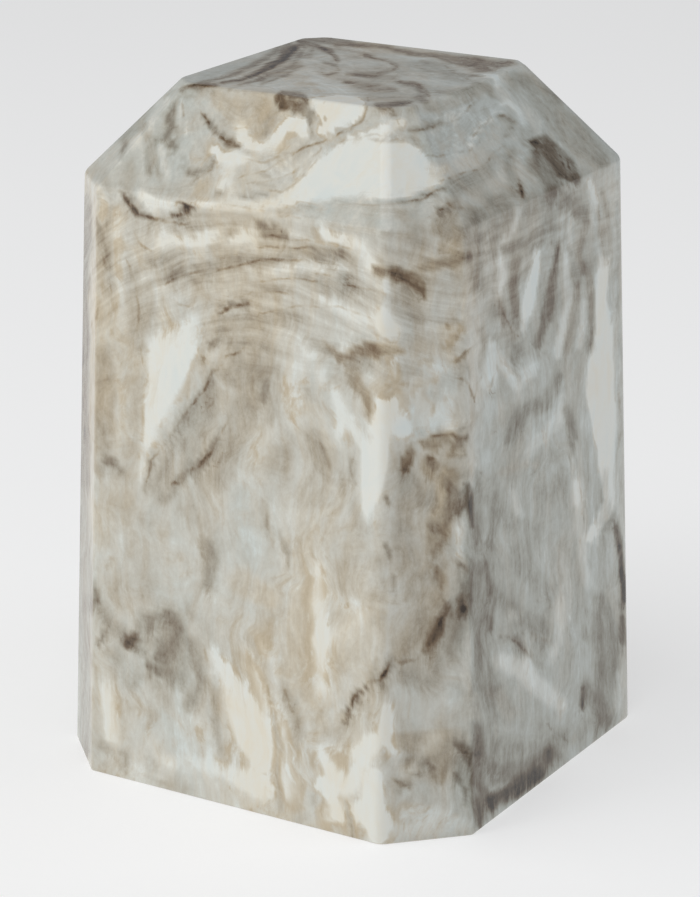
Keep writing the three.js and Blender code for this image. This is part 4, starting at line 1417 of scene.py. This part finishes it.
class Pour(NamedTuple):
    """What the marble is read from at a place: where it is, the drift there, and the noises."""

    place: Wire
    drift: Wire
    wandered: Wire
    clouds: Wire
    combing: Wire
    fringe: Wire
    layers: Wire
    currents: Wire
    threads: Wire
    drops: Wire
    curtains: Wire
    grain: Wire


class Regions(NamedTuple):
    """How far a place belongs to each region of the urn, from 0 to 1."""

    height: Wire
    crown: Wire
    flank: Wire
    arch: Wire
    walls: Wire
    plateau: Wire
    low: Wire


def read_regions(tree, place):
    height = place.part("Z")
    crown = between(tree, height, *CROWN_SPAN)
    flank = between(tree, place.part("X").operate("ABSOLUTE"), *FLANK_SPAN)
    return Regions(
        height=height,
        crown=crown,
        flank=flank,
        arch=between(tree, height, *ARCH_SPAN) * (1.0 - crown) * (1.0 - flank),
        walls=1.0 - crown,
        plateau=between(tree, height, *PLATEAU_SPAN),
        low=1.0 - between(tree, height, *LOW_SPAN),
    )


def read_pour(tree, place):
    """Reads the noises where the pour has wandered to. The layers of the arch follow a bent level."""
    swirl = wire_from(tree, "ShaderNodeTexNoise", output="Color", Vector=place, Scale=26.0, Detail=2.0)
    drift = swirl - (0.5, 0.5, 0.5)

    def drifted(by):
        return drift * (by, by, by)

    wandered = place + drifted(0.05)
    upright = place + drift * (0.016, 0.016, 0.0)
    across = place.part("X") - 0.015
    level = combine(tree, place.part("X"), place.part("Y"), place.part("Z") + across * across * 5.0)
    return Pour(
        place=place,
        drift=drift,
        wandered=wandered,
        clouds=noise_around_zero(tree, wandered, (46.0, 46.0, 20.0), 6.0, 0.62, 1.1),
        combing=noise_around_zero(tree, upright, (190.0, 190.0, 15.0), 4.0, 0.62, 0.5),
        fringe=noise_around_zero(tree, wandered, (150.0, 150.0, 55.0), 6.0, 0.65),
        layers=noise_around_zero(tree, level + drifted(0.012), (36.0, 36.0, 330.0), 5.0, 0.6),
        currents=noise_around_zero(tree, wandered, (30.0, 30.0, 26.0), 2.0, 0.5),
        threads=noise_around_zero(tree, upright, (620.0, 620.0, 60.0), 4.0, 0.7),
        drops=noise_around_zero(tree, place + drifted(0.03), (125.0, 125.0, 24.0), 4.0, 0.55, 0.7),
        curtains=noise_around_zero(tree, place + drifted(0.02), (130.0, 130.0, 12.0), 3.0, 0.6),
        grain=noise_around_zero(tree, place, (460.0, 460.0, 300.0), 5.0, 0.78),
    )


def fringed_tone(tree, pour, regions):
    """The tone that was stored, with each mark ending in fringes, long and upright on the walls."""
    tone = stored(tree, "tone")
    reach = pour.combing * regions.walls * (1.0 - regions.arch * 0.6) * 2.6 + pour.fringe * 2.4
    return (
        tone
        + reach.clamped() * (stored(tree, "tone above") - tone)
        + (reach * -1.0).clamped() * (stored(tree, "tone below") - tone)
    )


def patterned_tone(tree, colours, pour, regions, tone, rim):
    """Adds the patterns of the pour to the tone. All but the combing and the rim fade on the whites."""
    arch, walls, flank, low = regions.arch, regions.walls, regions.flank, regions.low
    murky = between(tree, tone, 0.0, 0.32) * 0.74 + 0.26
    streak_place = combine(tree, stored(tree, "across streak"), stored(tree, "along streak"))
    way = streak_place + pour.drift * (9.0, 9.0, 0.0)
    hairs = noise_around_zero(tree, way, (0.26, 0.024, 1.0), 5.0, 0.72) * stored(tree, "drawn streak")
    tone = tone + pour.clouds * (colours.clouding - arch * 0.14 - low * 0.12) * murky
    tone = tone + pour.drops * flank * (between(tree, regions.height, 0.10, 0.17) * 0.35 + 0.40) * murky
    tone = tone + pour.curtains * 0.20 * walls * (1.0 - arch * 0.7) * murky
    tone = tone + pour.combing * (low * 0.10 + colours.combing) * walls * (1.0 - arch * 0.7)
    tone = tone + pour.layers * 0.72 * arch * murky + pour.threads * walls * (flank * 0.20 + 0.10) * murky
    tone = tone + pour.fringe * (0.42 - regions.crown * 0.18) * murky + pour.grain * 0.34 * murky
    tone = tone + hairs * (regions.crown * 0.22 + regions.plateau * 0.3 + 0.14) * murky
    return tone + rim * 0.13


def veined_tone(tree, pour, tone, warmed):
    """Adds the veins and specks. The veins wobble, break and fade, and warm the hue around them."""
    place = pour.place
    wobble = noise_around_zero(tree, place, (260.0, 260.0, 260.0), 3.0, 0.6)
    broken = between(tree, noise_around_zero(tree, place, (150.0, 150.0, 110.0), 4.0), -0.05, 0.12)
    for channel in VEIN_CHANNELS:
        offset = stored(tree, "vein offset " + channel) + wobble * 4.0 + pour.fringe * 2.0
        line = 1.0 - between(tree, offset.operate("ABSOLUTE"), 0.0, 2.1)
        stain = line * stored(tree, "vein strength " + channel) * (broken * 0.25 + 0.05)
        tone = tone + stain
        warmed = warmed + stain * 3.0
    specks = between(tree, noise_around_zero(tree, place, (420.0, 420.0, 300.0), 2.0), 0.20, 0.28)
    return tone + specks * 0.12 * between(tree, tone, 0.3, 0.6), warmed


def marble_hue(tree, pour, regions, tone, warmed):
    """From cool, below 0, to warm. The flanks are cooler, a painted cool shade on the side faces; the
    clouds on the crown's sides are cooler too.
    """
    # The flank term paints the cool shade of the side faces
    hue = warmed + pour.combing * 1.4 + pour.fringe * 1.2 + 0.1 - regions.flank * (tone * 1.6 + 0.1)
    crown_side = regions.crown * between(tree, pour.place.part("X").operate("ABSOLUTE"), 0.0, 0.05)
    hue = hue - crown_side * between(tree, tone, 0.08, 0.30) * 0.7
    return hue + noise_around_zero(tree, pour.wandered, (24.0, 24.0, 8.0), 3.0) * 3.0


def marble_material(colours):
    material, tree, shader = new_material("swirled cultured marble")
    place = wire_from(tree, "ShaderNodeTexCoord", output="Object")
    regions = read_regions(tree, place)
    pour = read_pour(tree, place)
    tone = fringed_tone(tree, pour, regions)

    # A brown rim follows parts of the pools
    rim = between(tree, tone, 0.06, 0.17) * (1.0 - between(tree, tone, 0.17, 0.30))
    rim = rim * between(tree, pour.currents + pour.fringe * 0.9, 0.0, 0.16)
    tone = patterned_tone(tree, colours, pour, regions, tone, rim)
    tone, warmed = veined_tone(tree, pour, tone, stored(tree, "warmth") + rim * 0.7)
    shades = colour_ramp(tree, tone, [
        (0.0, colours.ivory),
        (0.05, colours.ivory),
        (0.17, colours.shell),
        (0.26, colours.cream),
        (0.42, colours.beige),
        (0.58, colours.taupe),
        (0.78, colours.brown),
        (1.0, colours.bark),
    ])
    hue = marble_hue(tree, pour, regions, tone, warmed)
    shades = blend_colour(tree, "MULTIPLY", hue.clamped(), shades, (*colours.rust, 1.0))
    shades = blend_colour(tree, "MULTIPLY", (hue * -1.0).clamped(), shades, (*colours.slate, 1.0))
    feed(tree, shader.inputs["Base Color"], shades)

    polish = noise_around_zero(tree, place, (60.0, 60.0, 60.0), 4.0) * 0.06 + 0.17
    feed(tree, shader.inputs["Roughness"], polish)
    ripple = wire_from(tree, "ShaderNodeTexNoise", Vector=place, Scale=45.0, Detail=2.0)
    feed(tree, shader.inputs["Normal"], bumps(tree, 0.05, 0.0006, ripple))
    shader.inputs["IOR"].default_value = 1.5
    shader.inputs["Specular IOR Level"].default_value = 0.4
    lay_out(tree)
    return material


class RubberColours(bpy.types.PropertyGroup):
    black: colour("Black", "The rubber itself", 34, 33, 33)
    bloom: colour("Bloom", "The pale bloom that rubber takes", 74, 72, 69)


def rubber_material(colours):
    """Black rubber with a patchy bloom, fine pores and the rings that turning leaves in its mould."""
    material, tree, shader = new_material("moulded rubber")
    place = wire_from(tree, "ShaderNodeTexCoord", output="Object")
    patches = noise_around_zero(tree, place, (70.0, 70.0, 70.0), 6.0, 0.65, 0.6)
    pores = noise_around_zero(tree, place, (1400.0, 1400.0, 1400.0), 3.0, 0.7)
    x = place.part("X")
    y = place.part("Y")
    from_axis = (x * x + y * y).operate("SQRT")
    rings = (from_axis * 7200.0 + patches * 3.0).operate("SINE")
    bloom = between(tree, patches + pores * 0.5, -0.12, 0.24) * 0.55
    shades = blend_colour(tree, "MIX", bloom, (*colours.black, 1.0), (*colours.bloom, 1.0))
    feed(tree, shader.inputs["Base Color"], shades)
    feed(tree, shader.inputs["Roughness"], bloom * 0.3 + pores * 0.2 + 0.52)
    feed(tree, shader.inputs["Normal"], bumps(tree, 0.35, 0.0002, pores + rings * 0.12))
    shader.inputs["IOR"].default_value = 1.52
    lay_out(tree)
    return material


# The studio

LIGHT_AIM = Vector((0.0, 0.0, 0.12))
# Each light: where it stands, the width of its square, its watts and its colour
LIGHTS = {
    "key": ((-1.84, -1.54, 1.0), 2.6, 31.5, (1.0, 0.985, 0.93)),
    "fill": ((2.1, 0.9, 0.9), 1.4, 8.0, (0.93, 0.96, 1.0)),
    "top": ((0.0, -0.9, 2.0), 1.6, 16.0, (0.98, 0.99, 1.0)),
}
SKY = (0.93, 0.95, 1.0, 1.0)
SKY_STRENGTH = 0.27
FLOOR_HALF_WIDTH = 6.0


class StudioSettings(bpy.types.PropertyGroup):
    azimuth: bpy.props.FloatProperty(
        name="Azimuth",
        description="Camera angle from the front face",
        default=math.radians(31.03),
        subtype="ANGLE",
    )
    elevation: bpy.props.FloatProperty(
        name="Elevation",
        description="Camera angle above the floor",
        default=math.radians(18.55),
        subtype="ANGLE",
    )
    distance: length("Distance", "From the camera to the point it looks at", 1.207)
    target: bpy.props.FloatVectorProperty(
        name="Target",
        description="Point that the camera looks at",
        default=(-0.0015, -0.0009, 0.1117),
        subtype="XYZ",
        unit="LENGTH",
    )
    lens: bpy.props.FloatProperty(
        name="Lens", description="Focal length in millimetres", default=130.51
    )


def camera_place(studio):
    """Where the camera stands, and the turn that points it at its target."""
    away = Vector((
        math.sin(studio.azimuth) * math.cos(studio.elevation),
        -math.cos(studio.azimuth) * math.cos(studio.elevation),
        math.sin(studio.elevation),
    ))
    turn = away.to_track_quat("Z", "Y").to_matrix().to_4x4()
    return Matrix.Translation(Vector(studio.target) + away * studio.distance) @ turn


def add_light(name, place, size, power, colour):
    """Adds a square of soft light that faces the urn."""
    light = bpy.data.lights.new(name, "AREA")
    light.shape = "SQUARE"
    light.size = size
    light.energy = power
    light.color = colour
    lamp = bpy.data.objects.new(name, light)
    turn = (Vector(place) - LIGHT_AIM).to_track_quat("Z", "Y").to_matrix().to_4x4()
    lamp.matrix_world = Matrix.Translation(place) @ turn
    bpy.context.scene.collection.objects.link(lamp)


def pale_floor():
    half = FLOOR_HALF_WIDTH
    corners = [(-half, -half, 0), (half, -half, 0), (half, half, 0), (-half, half, 0)]
    mesh = bpy.data.meshes.new("floor")
    mesh.from_pydata(corners, [], [(0, 1, 2, 3)])
    floor = bpy.data.objects.new("floor", mesh)
    bpy.context.scene.collection.objects.link(floor)
    material, _, shader = new_material("pale floor")
    shader.inputs["Base Color"].default_value = (0.5, 0.5, 0.5, 1.0)
    shader.inputs["Emission Color"].default_value = (1.0, 1.0, 1.0, 1.0)
    shader.inputs["Emission Strength"].default_value = 0.5
    shader.inputs["Roughness"].default_value = 0.9
    shader.inputs["Specular IOR Level"].default_value = 0.1
    mesh.materials.append(material)
    return floor


class URN_OT_studio(bpy.types.Operator):
    """Adds the pale floor, the soft lights and the camera"""

    bl_idname = "urn.studio"
    bl_label = "Studio"

    def execute(self, context):
        scene = context.scene
        studio = scene.urn_studio
        lens = bpy.data.cameras.new("camera")
        lens.lens = studio.lens
        lens.sensor_width = SENSOR
        camera = bpy.data.objects.new("camera", lens)
        camera.matrix_world = camera_place(studio)
        scene.collection.objects.link(camera)
        scene.camera = camera
        pale_floor()
        for name, light in LIGHTS.items():
            add_light(name, *light)
        world = bpy.data.worlds.new("studio")
        world.use_nodes = True
        background = world.node_tree.nodes["Background"]
        background.inputs["Color"].default_value = SKY
        background.inputs["Strength"].default_value = SKY_STRENGTH
        scene.world = world
        scene.view_settings.view_transform = "Standard"
        return {"FINISHED"}


class URN_OT_casting(bpy.types.Operator):
    """Makes the hollow marble casting that stands for the plain one"""

    bl_idname = "urn.casting"
    bl_label = "Marble casting"

    def execute(self, context):
        scene = context.scene
        casting = make_casting(scene.urn_sizes, marble_material(scene.urn_marble))
        set_marks(casting.data, scene.urn_studio)
        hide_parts("urn_body")
        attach(casting, "root")
        return {"FINISHED"}


class URN_OT_stopper(bpy.types.Operator):
    """Gives the stopper its rubber"""

    bl_idname = "urn.stopper"
    bl_label = "Rubber stopper"

    def execute(self, context):
        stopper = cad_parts["stopper"]
        stopper.data.materials.clear()
        stopper.data.materials.append(rubber_material(context.scene.urn_rubber))
        return {"FINISHED"}


class URN_PT_panel(bpy.types.Panel):
    """Lists the urn's pieces in the sidebar"""

    bl_label = "Marble urn"
    bl_idname = "URN_PT_panel"
    bl_space_type = "VIEW_3D"
    bl_region_type = "UI"
    bl_category = "Urn"

    def draw(self, context):
        for step in STEPS:
            self.layout.operator(step.bl_idname)
        for group in (getattr(context.scene, name) for name in GROUPS):
            for name in group.bl_rna.properties.keys():
                if name not in ("rna_type", "name"):
                    self.layout.prop(group, name)


STEPS = (URN_OT_studio, URN_OT_casting, URN_OT_stopper)
GROUPS = {
    "urn_sizes": UrnSizes,
    "urn_marble": MarbleColours,
    "urn_rubber": RubberColours,
    "urn_studio": StudioSettings,
}
CLASSES = (*GROUPS.values(), *STEPS, URN_PT_panel)


def register():
    for cls in CLASSES:
        bpy.utils.register_class(cls)
    for name, group in GROUPS.items():
        setattr(bpy.types.Scene, name, bpy.props.PointerProperty(type=group))


def unregister():
    for name in GROUPS:
        delattr(bpy.types.Scene, name)
    for cls in reversed(CLASSES):
        bpy.utils.unregister_class(cls)


def main():
    register()
    bpy.ops.urn.studio()
    bpy.ops.urn.casting()
    bpy.ops.urn.stopper()


if __name__ == "__main__":
    main()
